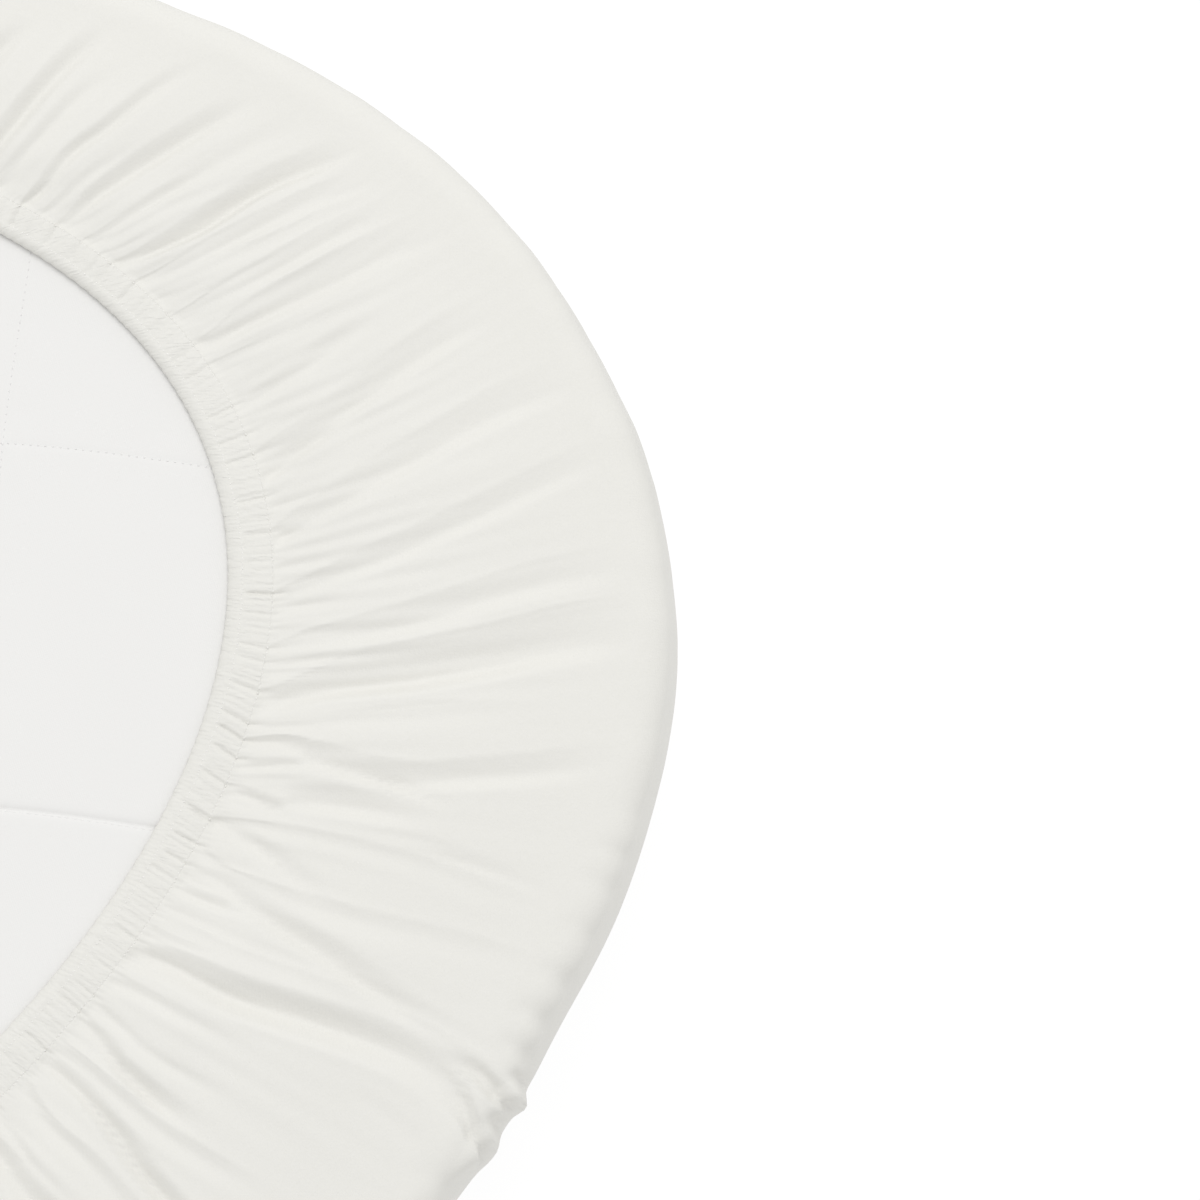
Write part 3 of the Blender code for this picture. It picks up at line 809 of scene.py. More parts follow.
@dataclass
class FoldField:
    """Relief of the turned-over face."""

    oval: Oval
    ridge_share: float = 0.80
    start_share: float = 0.30
    full_reach: float = 0.28
    fall_reach: float = 0.45
    end_reach: float = 1.10
    low_level: float = 1.3 * MM
    low_edge: float = 2.2 * MM
    low_reach: float = 0.92
    low_blend: float = 0.14
    floor_softness: float = 0.30 * MM
    widening_reach: float = 0.35
    steepness_share: float = 0.75
    fading: float = 0.70
    fading_reach: float = 0.40
    fade_in: float = 0.12
    fade_out: float = 0.24
    lip_width: float = 0.60 * MM
    lip_height: float = 0.17 * MM
    crest_height: float = 0.48 * MM
    crest_width: float = 1.3 * MM
    ripple_height: float = 0.20 * MM
    ripple_turns: tuple[int, int] = (90, 420)
    ripple_waves: int = 22
    ripple_seed: int = 5
    rest_seed: int = 23
    long_folds: DrapeRanges = DrapeRanges(
        (0.36, 0.60), (2.5, 4.5), (6.5, 11.0), (4.0, 7.0), crest=(0.0, 0.8), slit=(0.3, 1.0)
    )
    short_folds: DrapeRanges = DrapeRanges(
        (0.20, 0.42), (1.8, 3.0), (2.8, 5.0), (2.5, 4.5), crest=(0.0, 0.6), slit=(0.0, 0.8)
    )
    short_shares: tuple[float, float] = (0.34, 0.67)
    share_wander: Range = (-0.08, 0.08)
    short_reach: Range = (0.25, 0.85)
    path_wander: Range = (-3.0, 3.0)
    folds: list[Fold] = field(init=False)
    drapes: list[Drape] = field(init=False)

    def __post_init__(self) -> None:
        """List the folds of the whole round."""
        rest = RestFolds().folds(self.oval)
        self.folds = list(END_FOLDS) + rest
        self.drapes = list(END_DRAPES) + self._rest_drapes(rest)

    def _rest_drapes(self, rest: list[Fold]) -> list[Drape]:
        """Folds past the charted end: a long one at each fold of the solid, and short ones between.

        Args:
            rest: folds of the solid there.

        Returns:
            The folds.
        """
        chance = random.Random(self.rest_seed)
        drapes: list[Drape] = []
        first = END_FOLDS[0]
        again = Fold(first.hem - FULL_TURN, first.edge - FULL_TURN, first.reach, first.height)
        for fold, after in zip(rest, rest[1:] + [again]):
            run = float(self.oval.run_per_degree(np.array(fold.hem), 0.4)) / MM
            middle = fold.hem + (fold.edge - fold.hem) * 0.5 + chance.uniform(*self.path_wander) / run
            path = ((0.0, fold.hem), (0.5, middle), (fold.reach + 0.05, fold.edge))
            drapes.append(Drape(*self.long_folds.draw(chance, run), path, chance.choice((-1.0, 1.0))))
            for share in self.short_shares:
                share += chance.uniform(*self.share_wander)
                hem = fold.hem + (after.hem - fold.hem) * share
                edge = fold.edge + (after.edge - fold.edge) * share
                reach = chance.uniform(*self.short_reach)
                sizes = self.short_folds.draw(chance, run)
                end = hem + (edge - hem) * reach + chance.uniform(*self.path_wander) / run
                drapes.append(Drape(*sizes, ((0.0, hem), (reach, end)), chance.choice((-1.0, 1.0))))
        return drapes

    def edge_station(self, hem_station: Array) -> Array:
        """Station at the edge of the column that starts at a station of the hem, as the folds lean."""
        return self._round(hem_station, [f.edge for f in self.folds], turns=True)

    def _round(self, station: Array, values: list[float], turns: bool = False) -> Array:
        """Value at a station, straight between those of the folds, all the way round.

        Args:
            station: stations at the hem.
            values: one value for each fold.
            turns: whether the values are stations, which grow by a full turn with each round.

        Returns:
            The values.
        """
        hems = np.array([f.hem for f in self.folds])[::-1]
        given = np.array(values)[::-1]
        step = FULL_TURN if turns else 0.0
        places = np.concatenate([hems - FULL_TURN, hems, hems + FULL_TURN])
        known = np.concatenate([given - step, given, given + step])
        home = stations_apart(station, (hems[0] + hems[-1]) / 2.0) + (hems[0] + hems[-1]) / 2.0
        back = station - home
        return np.interp(home, places, known) + (back if turns else 0.0)

    def ridge(self, hem_station: Array, reach: Array) -> Array:
        """Height of the plateaus over the face: it rises from the stitching and dies out towards the edge.

        Args:
            hem_station: station at the hem of each column.
            reach: reach of each ring, as a column.

        Returns:
            Heights in metres.
        """
        height = self._round(hem_station, [f.height for f in self.folds])
        rise = self.start_share + (1.0 - self.start_share) * ease(reach / self.full_reach)
        fall = 1.0 - ease((reach - self.fall_reach) / (self.end_reach - self.fall_reach))
        return self.ridge_share * height * rise * fall

    def drape_depth(self, drape: Drape, station: Array, reach: Array) -> Array:
        """Depth of one fold under the plateaus, ring by ring.

        Below the crest's line the cloth falls evenly, with slightly eased ends, over the fall's width, and
        then rises by a smooth step over the rise's width. A sharp crest has a lip, a smooth step within a
        millimetre, and above it the cloth swells towards the lip. All this fades in where the line starts on
        the face, gets weaker outwards and fades out at the line's end.

        Args:
            drape: the fold.
            station: station of each point, one row for each ring.
            reach: reach of each ring, as a column.

        Returns:
            Depths in metres.
        """
        reaches, stations = np.array(drape.path).T
        line = through_points(reach, reaches, stations)
        start, end = reaches[0], reaches[-1]
        grown = ease((reach - start) / self.fade_in) if start > 0.02 else 1.0
        fade = min(self.fade_out, 0.6 * (end - start))
        strength = grown * (1.0 - ease((reach - (end - fade)) / fade))
        weaker = 1.0 - self.fading * ease((reach - self.fading_reach) / (self.end_reach - self.fading_reach))

        spread = drape.hem_fall + (drape.fall - drape.hem_fall) * ease(reach / self.widening_reach)
        past = stations_apart(line, station) * drape.side
        run = self.oval.run_per_degree(station, reach)
        share = np.clip(past / spread, 0.0, 1.0)
        ramp = 0.6 * share + 0.4 * ease(share)
        left = 1.0 - ease((past - spread) / drape.rise)
        step = ease(past * run / self.lip_width + 0.5)
        swell = (1.0 - step) * np.exp(np.minimum(past * run, 0.0) / self.crest_width)
        valley = self.steepness_share * drape.steepness * spread * run * weaker * ramp * left
        lip = drape.crest * (1.0 - 0.4 * reach) * (self.lip_height * step * left - self.crest_height * swell)
        return strength * (valley + lip)

    def creasing(self, station: Array, reach: Array) -> Array:
        """Depth of all the folds together.

        Args:
            station: station of each point, one row for each ring.
            reach: reach of each ring, as a column.

        Returns:
            Depths in metres.
        """
        total = np.zeros(np.broadcast_shapes(station.shape, reach.shape))
        for drape in self.drapes:
            total += self.drape_depth(drape, station, reach)
        return total

    def ripple(self, hem_station: Array, reach: Array) -> Array:
        """Fine streaks that run out from the hem: waves with whole numbers of turns round the oval.

        Each wave swings a little sideways and comes and goes along the way. All of them get lower outwards.

        Args:
            hem_station: station at the hem of each column.
            reach: reach of each ring, as a column.

        Returns:
            Heights in metres.
        """
        chance = np.random.default_rng(self.ripple_seed)
        angle = np.radians(hem_station)
        total = np.zeros(np.broadcast_shapes(hem_station.shape, reach.shape))
        for _ in range(self.ripple_waves):
            turns = chance.integers(*self.ripple_turns)
            phase, coming, swing = chance.uniform(0.0, 2.0 * math.pi, 3)
            sideways = 2.5 * np.sin(reach * chance.uniform(1.5, 4.0) + swing)
            drift = angle * chance.integers(5, 24) + reach * chance.uniform(-5.0, 5.0) + coming
            present = 0.5 + 0.5 * np.sin(drift)
            total += present * np.sin(angle * turns + sideways + phase) * self.ripple_turns[0] / turns
        return total * self.ripple_height * (1.0 - 0.9 * ease((reach - 0.1) / 0.95))

    def height(self, station: Array, hem_station: Array, reach: Array) -> Array:
        """Height of the cloth over the level face: plateaus less folds, and a low unevenness.

        Args:
            station: station of each point, one row for each ring.
            hem_station: station at the hem of each column.
            reach: reach of each ring, as a column.

        Returns:
            Heights in metres.
        """
        plateaus = self.ridge(hem_station, reach)
        return plateaus - self.creasing(station, reach) + self.ripple(hem_station, reach)

    def keep_up(self, height: Array, reach: Array) -> Array:
        """Height where it is well over a low level, with a rounded approach to that level below it.

        The low level keeps the cloth over the mattress. It lies deeper at the edge, where there is more room.

        Args:
            height: height over the level face.
            reach: reach of each ring, as a column.

        Returns:
            Heights in metres.
        """
        level = self.low_level + self.low_edge * ease((reach - self.low_reach) / self.low_blend)
        return soft_floor(height + level, self.floor_softness) - level


@dataclass
class Shell:
    """Points and faces of a piece, put together ring by ring.

    With each block of faces goes whether they take their cloth pattern from the plan.
    """

    points: list[Array] = field(default_factory=list)
    flats: list[Array] = field(default_factory=list)
    quads: list[tuple[Ints, bool]] = field(default_factory=list)
    triangles: list[tuple[Ints, bool]] = field(default_factory=list)
    count: int = 0

    def add(self, points: Array, flat: Array | None = None) -> Ints:
        """Add points of any grid shape.

        Args:
            points: places, with three numbers each.
            flat: places on the flat cloth, with two numbers each, or None where they are those in plan.

        Returns:
            The points' numbers, in the same grid shape.
        """
        places = points.reshape(-1, 3)
        self.points.append(places)
        self.flats.append(places[:, :2] if flat is None else flat.reshape(-1, 2))
        numbers = np.arange(self.count, self.count + len(places)).reshape(points.shape[:-1])
        self.count += len(places)
        return numbers

    def bridge(self, rings: Ints, in_plan: bool = False, closed: bool = False) -> None:
        """Join each ring to the next, and the last to the first where closed. All the rings run round.

        Args:
            rings: numbers of the points, one row for each ring.
            in_plan: whether the faces take their cloth pattern from the plan.
            closed: whether the last ring is joined to the first.
        """
        inner, outer = (rings, np.roll(rings, -1, axis=0)) if closed else (rings[:-1], rings[1:])
        faces = np.stack([inner, outer, np.roll(outer, -1, axis=1), np.roll(inner, -1, axis=1)], axis=-1)
        self.quads.append((faces.reshape(-1, 4), in_plan))

    def bridge_to_half(self, ring: Ints, half: Ints) -> None:
        """Join a ring to one with half as many points, by three triangles for each of the latter.

        Args:
            ring: numbers of the finer ring's points.
            half: numbers of the coarser ring's points.
        """
        start, middle = ring[0::2], ring[1::2]
        end, after = np.roll(start, -1), np.roll(half, -1)
        for corners in ((start, half, middle), (middle, half, after), (middle, after, end)):
            self.triangles.append((np.stack(corners, axis=-1), False))

    def close(self, ring: Ints, centre: int) -> None:
        """Fill a ring with triangles to a point in its middle."""
        corners = (ring, np.full_like(ring, centre), np.roll(ring, -1))
        self.triangles.append((np.stack(corners, axis=-1), True))

    def make(self, name: str, grain: Array | None = None) -> bpy.types.Object:
        """Make the object, smooth, with its cloth pattern in a UV map in metres.

        Args:
            name: name of the piece.
            grain: two directions in plan, across and along the cloth's ribs, as rows.

        Returns:
            The object, at the origin.
        """
        places = np.concatenate(self.points)
        blocks = self.quads + self.triangles
        corners = np.concatenate([faces.ravel() for faces, _ in blocks]).astype(np.int32)
        sizes = np.concatenate([np.full(len(faces), faces.shape[1]) for faces, _ in blocks]).astype(np.int32)
        mesh = bpy.data.meshes.new(name)
        mesh.vertices.add(len(places))
        mesh.vertices.foreach_set("co", places.astype(np.float32).ravel())
        mesh.loops.add(len(corners))
        mesh.loops.foreach_set("vertex_index", corners)
        mesh.polygons.add(len(sizes))
        mesh.polygons.foreach_set("loop_start", (np.cumsum(sizes) - sizes).astype(np.int32))
        mesh.update(calc_edges=True)
        if grain is not None:
            in_plan = np.concatenate([np.full(faces.size, flag) for faces, flag in blocks])
            flat = np.where(in_plan[:, None], places[corners][:, :2], np.concatenate(self.flats)[corners])
            pattern = mesh.uv_layers.new(name="cloth")
            pattern.data.foreach_set("uv", (flat @ grain.T).astype(np.float32).ravel())
        mesh.shade_smooth()
        piece = bpy.data.objects.new(name, mesh)
        bpy.context.scene.collection.objects.link(piece)
        return piece


@dataclass
class NodeTree:
    """A material's nodes, with short ways to add the usual ones."""

    name: str
    material: bpy.types.Material = field(init=False)

    def __post_init__(self) -> None:
        """Start from an empty material with its principled shader."""
        self.material = bpy.data.materials.new(self.name)
        self.material.use_nodes = True

    @property
    def shader(self) -> bpy.types.Node:
        """The principled shader."""
        return self.material.node_tree.nodes["Principled BSDF"]

    def add(self, kind: str, **inputs: object) -> bpy.types.Node:
        """Add a node with its inputs.

        Args:
            kind: type of the node.
            inputs: values or outputs for its inputs, by name.

        Returns:
            The node.
        """
        node = self.material.node_tree.nodes.new(kind)
        self.feed_all(node, **inputs)
        return node

    def feed_all(self, node: bpy.types.Node, **inputs: object) -> None:
        """Set or link inputs of a node by name, with spaces as underscores."""
        for name, value in inputs.items():
            self.feed(node.inputs[name.replace("_", " ")], value)

    def dress(
        self, height: bpy.types.NodeSocket, relief: float, strength: float = 1.0, **inputs: object
    ) -> bpy.types.Material:
        """Finish the material with a bump and with inputs of the principled shader.

        Args:
            height: height of the bump, in reliefs.
            relief: relief in metres.
            strength: strength of the bump.
            inputs: inputs of the shader by name.

        Returns:
            The material.
        """
        bump = self.add("ShaderNodeBump", Strength=strength, Distance=relief, Height=height)
        self.feed_all(self.shader, Normal=bump.outputs[0], **inputs)
        return self.material

    def feed(self, socket: bpy.types.NodeSocket, value: object) -> None:
        """Link a socket to an output, or set it to a value.

        Args:
            socket: the input.
            value: a value, or another node's output.
        """
        if isinstance(value, bpy.types.NodeSocket):
            self.material.node_tree.links.new(value, socket)
        else:
            socket.default_value = value

    def calculate(self, operation: str, *values: object) -> bpy.types.NodeSocket:
        """Result of a math node.

        Args:
            operation: what the node does.
            values: values or outputs for its inputs.

        Returns:
            Its output.
        """
        node = self.material.node_tree.nodes.new("ShaderNodeMath")
        node.operation = operation
        for socket, value in zip(node.inputs, values):
            self.feed(socket, value)
        return node.outputs[0]

    def clamped(self, operation: str, *values: object) -> bpy.types.NodeSocket:
        """Result of a math node, held between 0 and 1.

        Args:
            operation: what the node does.
            values: values or outputs for its inputs.

        Returns:
            Its output.
        """
        result = self.calculate(operation, *values)
        result.node.use_clamp = True
        return result

    def noise(self, vector: object, scale: float, detail: float = 2.0) -> bpy.types.NodeSocket:
        """Value of a noise texture."""
        return self.add("ShaderNodeTexNoise", Vector=vector, Scale=scale, Detail=detail).outputs["Fac"]

    def mix(self, factor: object, first: Colour, second: Colour) -> bpy.types.NodeSocket:
        """Mix of two colours.

        Args:
            factor: share of the second colour.
            first: the first colour.
            second: the second colour.

        Returns:
            The mixed colour.
        """
        node = self.material.node_tree.nodes.new("ShaderNodeMix")
        node.data_type = "RGBA"
        self.feed(node.inputs["Factor"], factor)
        node.inputs[6].default_value = (*first, 1.0)
        node.inputs[7].default_value = (*second, 1.0)
        return node.outputs[2]

    def ribs(self, along: bpy.types.NodeSocket, pitch: float, wander: object) -> bpy.types.NodeSocket:
        """Wave from 0 to 1 with a pitch in metres, moved sideways by a wander in radians."""
        turned = self.calculate("MULTIPLY_ADD", along, 2.0 * math.pi / pitch, wander)
        return self.calculate("MULTIPLY_ADD", self.calculate("SINE", turned), 0.5, 0.5)

    def total(self, *terms: tuple[object, float]) -> bpy.types.NodeSocket:
        """Sum of values, each times its weight.

        Args:
            terms: pairs of a value and its weight.

        Returns:
            The sum.
        """
        result: object = 0.0
        for value, weight in terms:
            result = self.calculate("MULTIPLY_ADD", value, weight, result)
        return result


@dataclass(frozen=True)
class JerseyFinish:
    """Off-white cotton jersey: fine upright ribs, soft fuzz and a slightly uneven dye."""

    name: str = "cotton_jersey"
    light: Colour = (0.800, 0.791, 0.754)
    shade: Colour = (0.750, 0.741, 0.700)
    rib_pitch: float = 1.2 * MM
    course_pitch: float = 0.9 * MM
    rib_share: float = 0.5
    crinkle: float = 0.0
    crinkle_scale: float = 400.0
    patch_scale: float = 9.0
    fuzz_scale: float = 1500.0
    grain_scale: float = 420.0
    dye_scale: float = 16.0
    relief: float = 0.05 * MM
    roughness: float = 0.95
    sheen: float = 0.06
    gloss: float = 0.2

    def make(self) -> bpy.types.Material:
        """Make the material: ribs and courses on the cloth's own pattern, fuzz and dye by place, and painted
        shade in the rib grooves and creases.

        Returns:
            The material.
        """
        tree = NodeTree(self.name)
        pattern = tree.add("ShaderNodeUVMap")
        pattern.uv_map = "cloth"
        place = tree.add("ShaderNodeTexCoord").outputs["Object"]
        axes = tree.add("ShaderNodeSeparateXYZ", Vector=pattern.outputs[0])
        wander = tree.calculate("MULTIPLY", tree.noise(place, 55.0), 5.0)
        rib = tree.ribs(axes.outputs[0], self.rib_pitch, wander)
        course = tree.ribs(axes.outputs[1], self.course_pitch, tree.calculate("MULTIPLY", wander, 1.7))
        fuzz = tree.noise(place, self.fuzz_scale, 3.0)
        grain = tree.noise(place, self.grain_scale, 2.0)
        patch = tree.clamped("MULTIPLY_ADD", tree.noise(place, self.patch_scale, 2.0), 5.0, -2.4)
        rib = tree.calculate("MULTIPLY", rib, patch)
        crease = self.creases(tree) if self.crinkle else 0.0
        height = tree.total(
            (rib, self.rib_share), (course, 0.08), (fuzz, 1.6), (grain, 2.0), (crease, -self.crinkle),
        )
        dye = tree.noise(place, self.dye_scale, 3.0)
        # Colour share of the light tone: uneven dye, fuzz and grain, and painted shade where the rib grooves
        # and the creases darken the colour
        groove = tree.total(
            (rib, 0.14 * self.rib_share), (fuzz, 0.55), (dye, 0.40), (grain, 0.3),
            (crease, -0.05 * self.crinkle),
        )
        return tree.dress(
            height, self.relief, Base_Color=tree.mix(groove, self.shade, self.light),
            Roughness=self.roughness, Sheen_Weight=self.sheen, Specular_IOR_Level=self.gloss,
        )

    def creases(self, tree: NodeTree) -> bpy.types.NodeSocket:
        """Fine creases across the drawn-up casing, from 0 to 1: where two drawn-out noises change sign.

        Args:
            tree: the material's nodes.

        Returns:
            The share.
        """
        around = tree.add("ShaderNodeAttribute")
        around.attribute_name = HEM_ROUND
        place = around.outputs["Vector"]
        lines = []
        for scale, sharpness in ((self.crinkle_scale, 8.0), (2.1 * self.crinkle_scale, 5.0)):
            off = tree.calculate("ABSOLUTE", tree.calculate("SUBTRACT", tree.noise(place, scale, 1.5), 0.5))
            lines.append(tree.clamped("MULTIPLY_ADD", off, -sharpness, 1.0))
        return tree.total((lines[0], 0.6), (lines[1], 0.4))


@dataclass(frozen=True)
class TickingFinish:
    """White cotton cover of the mattress: a close plain weave with a faint unevenness."""

    name: str = "white_ticking"
    light: Colour = (0.832, 0.827, 0.813)
    shade: Colour = (0.796, 0.790, 0.775)
    thread_pitch: float = 0.7 * MM
    relief: float = 0.022 * MM
    roughness: float = 0.93
    gloss: float = 0.2

    def make(self) -> bpy.types.Material:
        """Make the material: two crossing sets of threads, fuzz and a faint unevenness.

        Returns:
            The material.
        """
        tree = NodeTree(self.name)
        place = tree.add("ShaderNodeTexCoord").outputs["Object"]
        axes = tree.add("ShaderNodeSeparateXYZ", Vector=place)
        wander = tree.calculate("MULTIPLY", tree.noise(place, 60.0), 4.0)
        warp = tree.ribs(axes.outputs[0], self.thread_pitch, wander)
        weft = tree.ribs(axes.outputs[1], self.thread_pitch, wander)
        fuzz = tree.noise(place, 1300.0, 3.0)
        soft = tree.noise(place, 90.0, 3.0)
        height = tree.total((warp, 0.2), (weft, 0.2), (fuzz, 1.2), (soft, 4.0))
        # Uneven tone of the cloth, and the warp threads a little lighter on their crests than between them:
        # painted shade between the threads
        uneven = tree.total((tree.noise(place, 9.0, 3.0), 0.5), (fuzz, 0.4), (warp, 0.04))
        return tree.dress(
            height, self.relief, Base_Color=tree.mix(uneven, self.shade, self.light),
            Roughness=self.roughness, Specular_IOR_Level=self.gloss,
        )


@dataclass(frozen=True)
class ThreadFinish:
    """Sewing thread: a twist of fine fibres, a little glossier than the cloth."""

    name: str
    light: Colour
    shade: Colour
    relief: float = 0.05 * MM
    relief_strength: float = 0.6
    roughness: float = 0.7

    def make(self) -> bpy.types.Material:
        """Make the material: fine fibres in colour and bump.

        Returns:
            The material.
        """
        tree = NodeTree(self.name)
        place = tree.add("ShaderNodeTexCoord").outputs["Object"]
        fibres = tree.noise(place, 2600.0, 2.0)
        colour = tree.mix(fibres, self.shade, self.light)
        return tree.dress(
            fibres, self.relief, self.relief_strength, Base_Color=colour, Roughness=self.roughness
        )


@dataclass(frozen=True)
class Camera:
    """Camera of the photograph: nearly straight above the +X end, with the length turned in the picture."""

    target: tuple[float, float, float] = (0.5705, -0.0478, 0.084)
    picture_turn: float = 19.09
    tilt: float = 5.0
    tilt_turn: float = 20.0
    distance: float = 3.6
    metres_per_pixel: float = 0.3217 * MM
    picture_pixels: int = 1200
    sensor: float = 36.0

    def axes(self) -> tuple[Vector, Vector]:
        """Directions in plan that point right and up in the picture."""
        turn = math.radians(self.picture_turn)
        return Vector((math.cos(turn), -math.sin(turn), 0.0)), Vector((math.sin(turn), math.cos(turn), 0.0))

    def make(self) -> bpy.types.Object:
        """Make the camera and give it to the scene.

        Returns:
            The camera.
        """
        right, up = self.axes()
        lean_turn, tilt = math.radians(self.tilt_turn), math.radians(self.tilt)
        lean = right * math.sin(lean_turn) - up * math.cos(lean_turn)
        back = Vector((0.0, 0.0, math.cos(tilt))) + lean * math.sin(tilt)
        across = (right - back * right.dot(back)).normalized()
        data = bpy.data.cameras.new("photo_camera")
        data.sensor_width = self.sensor
        data.lens = self.sensor * self.distance / (self.picture_pixels * self.metres_per_pixel)
        camera = bpy.data.objects.new("photo_camera", data)
        turned = Matrix((across, back.cross(across), back)).transposed().to_4x4()
        camera.matrix_world = Matrix.Translation(Vector(self.target) + back * self.distance) @ turned
        bpy.context.scene.collection.objects.link(camera)
        bpy.context.scene.camera = camera
        return camera

    def grain(self) -> Array:
        """Directions across and along the jersey's ribs, which run up the picture."""
        right, up = self.axes()
        return np.array([right.to_2d(), up.to_2d()])


@dataclass
class HemCasing:
    """The sewn casing round the opening: a flat tube of gathered cloth, closed by two rows of stitches."""

    oval: Oval
    levels: Levels
    gathers: Gathers
    plan: ColumnPlan = ColumnPlan(count=3300, extra=2.0)
    row_distance: float = 4.9 * MM
    rim_wrinkle: float = 0.16 * MM
    rim_pitch: float = 1.8 * MM
    crinkle_squeeze: float = 0.3
    lift_height: float = 1.6 * MM
    rim_middle: float = 2.2 * MM
    rim_spread: float = 2.4 * MM
    rim_foot: float = 1.0 * MM
    scallop: float = 0.10 * MM
    scallop_width: float = 3.0 * MM
    inner_row_height: float = 2.87 * MM
    outer_row_height: float = 2.70 * MM
    row_depth: float = 0.20 * MM
    # Profile from under the rim, over the top and back under: distance and height in mm, share of the gathers
    profile: tuple[tuple[float, float, float], ...] = (
        (0.55, -0.45, 0.0), (0.12, 0.10, 0.0), (0.00, 0.58, 0.1), (0.26, 1.12, 0.2), (0.90, 1.70, 0.3),
        (1.90, 2.32, 0.3), (2.90, 2.72, 0.4), (3.70, 2.91, 0.5), (4.40, 2.89, 0.6), (4.90, 2.87, 0.7),
        (5.40, 2.90, 0.9), (6.00, 2.97, 1.0), (6.80, 3.03, 1.0), (7.70, 3.07, 1.0), (8.80, 3.09, 1.0),
        (9.90, 3.09, 1.0), (11.0, 3.07, 1.0), (12.1, 3.02, 1.0), (13.0, 2.94, 0.95), (13.7, 2.85, 0.85),
        (14.25, 2.76, 0.75), (14.6, 2.70, 0.70), (14.95, 2.10, 0.6), (15.10, 1.00, 0.2), (14.2, 0.05, 0.0),
        (8.0, 0.0, 0.0), (1.6, -0.35, 0.0),
    )

    def top(self, station: Array, distance: Array, height: Array, share: Array) -> Array:
        """Height of rings of the casing: the profile less the gathers and the rim's small wrinkles.

        Args:
            station: station of each column.
            distance: distance of each ring.
            height: height of each ring in the profile.
            share: share of the gathers at each ring.

        Returns:
            Heights over the origin, one row for each ring.
        """
        stands = np.clip(height / self.lift_height, 0.0, 1.0)
        lift = self.oval.lift(station)[None, :] * stands[:, None]
        depth = self.gathers.on_casing(self.oval, station, distance) * share[:, None]
        angle = np.radians(station)
        wrinkle = swung(angle, round(HEM_LENGTH / self.rim_pitch), 2.0, 23.0)
        wrinkle = wrinkle * (0.6 + 0.4 * np.sin(angle * 57.0 + 1.0))
        near_rim = bell(distance - self.rim_middle, self.rim_spread) * (height > self.rim_foot)
        depth += self.rim_wrinkle * (0.5 + 0.5 * wrinkle)[None, :] * near_rim[:, None]
        room = np.maximum(height[:, None], 0.0) * GATHER_LIMIT
        return self.levels.face_underside + lift + height[:, None] - np.minimum(depth, room)

    def build(self, grain: Array) -> bpy.types.Object:
        """Build the closed tube: the profile is carried round the hem and its gathers are pressed in.

        Args:
            grain: directions across and along the ribs.

        Returns:
            The object.
        """
        station = self.plan.stations(self.oval)
        distance, height, share = (np.array(column) for column in zip(*self.profile))
        distance, height = distance * MM, height * MM
        scallop = self.scallop * swung(np.radians(station), 410.0, 3.0, 31.0)
        moved = distance[:, None] + scallop[None, :] * (distance < self.scallop_width)[:, None]
        place = self.oval.on_casing(np.broadcast_to(station, moved.shape), moved)
        level = self.top(station, distance, height, share)
        shell = Shell()
        shell.bridge(shell.add(raised(place, level)), closed=True)
        piece = shell.make("hem_casing", grain)
        self.mark_round(piece, station, distance)
        return piece

    def mark_round(self, piece: bpy.types.Object, station: Array, distance: Array) -> None:
        """Give each point a place on a drum as long round as the hem, with its distance along the axis.

        Args:
            piece: the casing.
            station: station of each column.
            distance: distance of each ring.
        """
        fine, run = self.oval.hem_run()
        angle = np.interp(station, fine, run) / run[-1] * 2.0 * np.pi
        radius = run[-1] / (2.0 * np.pi)
        around = np.stack([np.cos(angle), np.sin(angle)], axis=-1) * radius
        around = np.broadcast_to(around, (len(distance), *around.shape))
        drum = raised(around, (distance * self.crinkle_squeeze)[:, None])
        marks = piece.data.attributes.new(HEM_ROUND, "FLOAT_VECTOR", "POINT")
        marks.data.foreach_set("vector", drum.astype(np.float32).ravel())

    def row_level(self, station: Array, row: StitchRow) -> Array:
        """Height of the cloth under a row of stitches, without the deepest slits, which it bridges.

        Args:
            station: station of each stitch.
            row: which of the two rows.

        Returns:
            Heights over the origin.
        """
        inner = row is StitchRow.INNER
        height = self.inner_row_height if inner else self.outer_row_height
        distance = np.array([self.row_distance if inner else self.oval.casing_width])
        depth = np.minimum(self.gathers.on_casing(self.oval, station, distance)[0], self.row_depth)
        return self.levels.face_underside + self.oval.lift(station) + height - depth


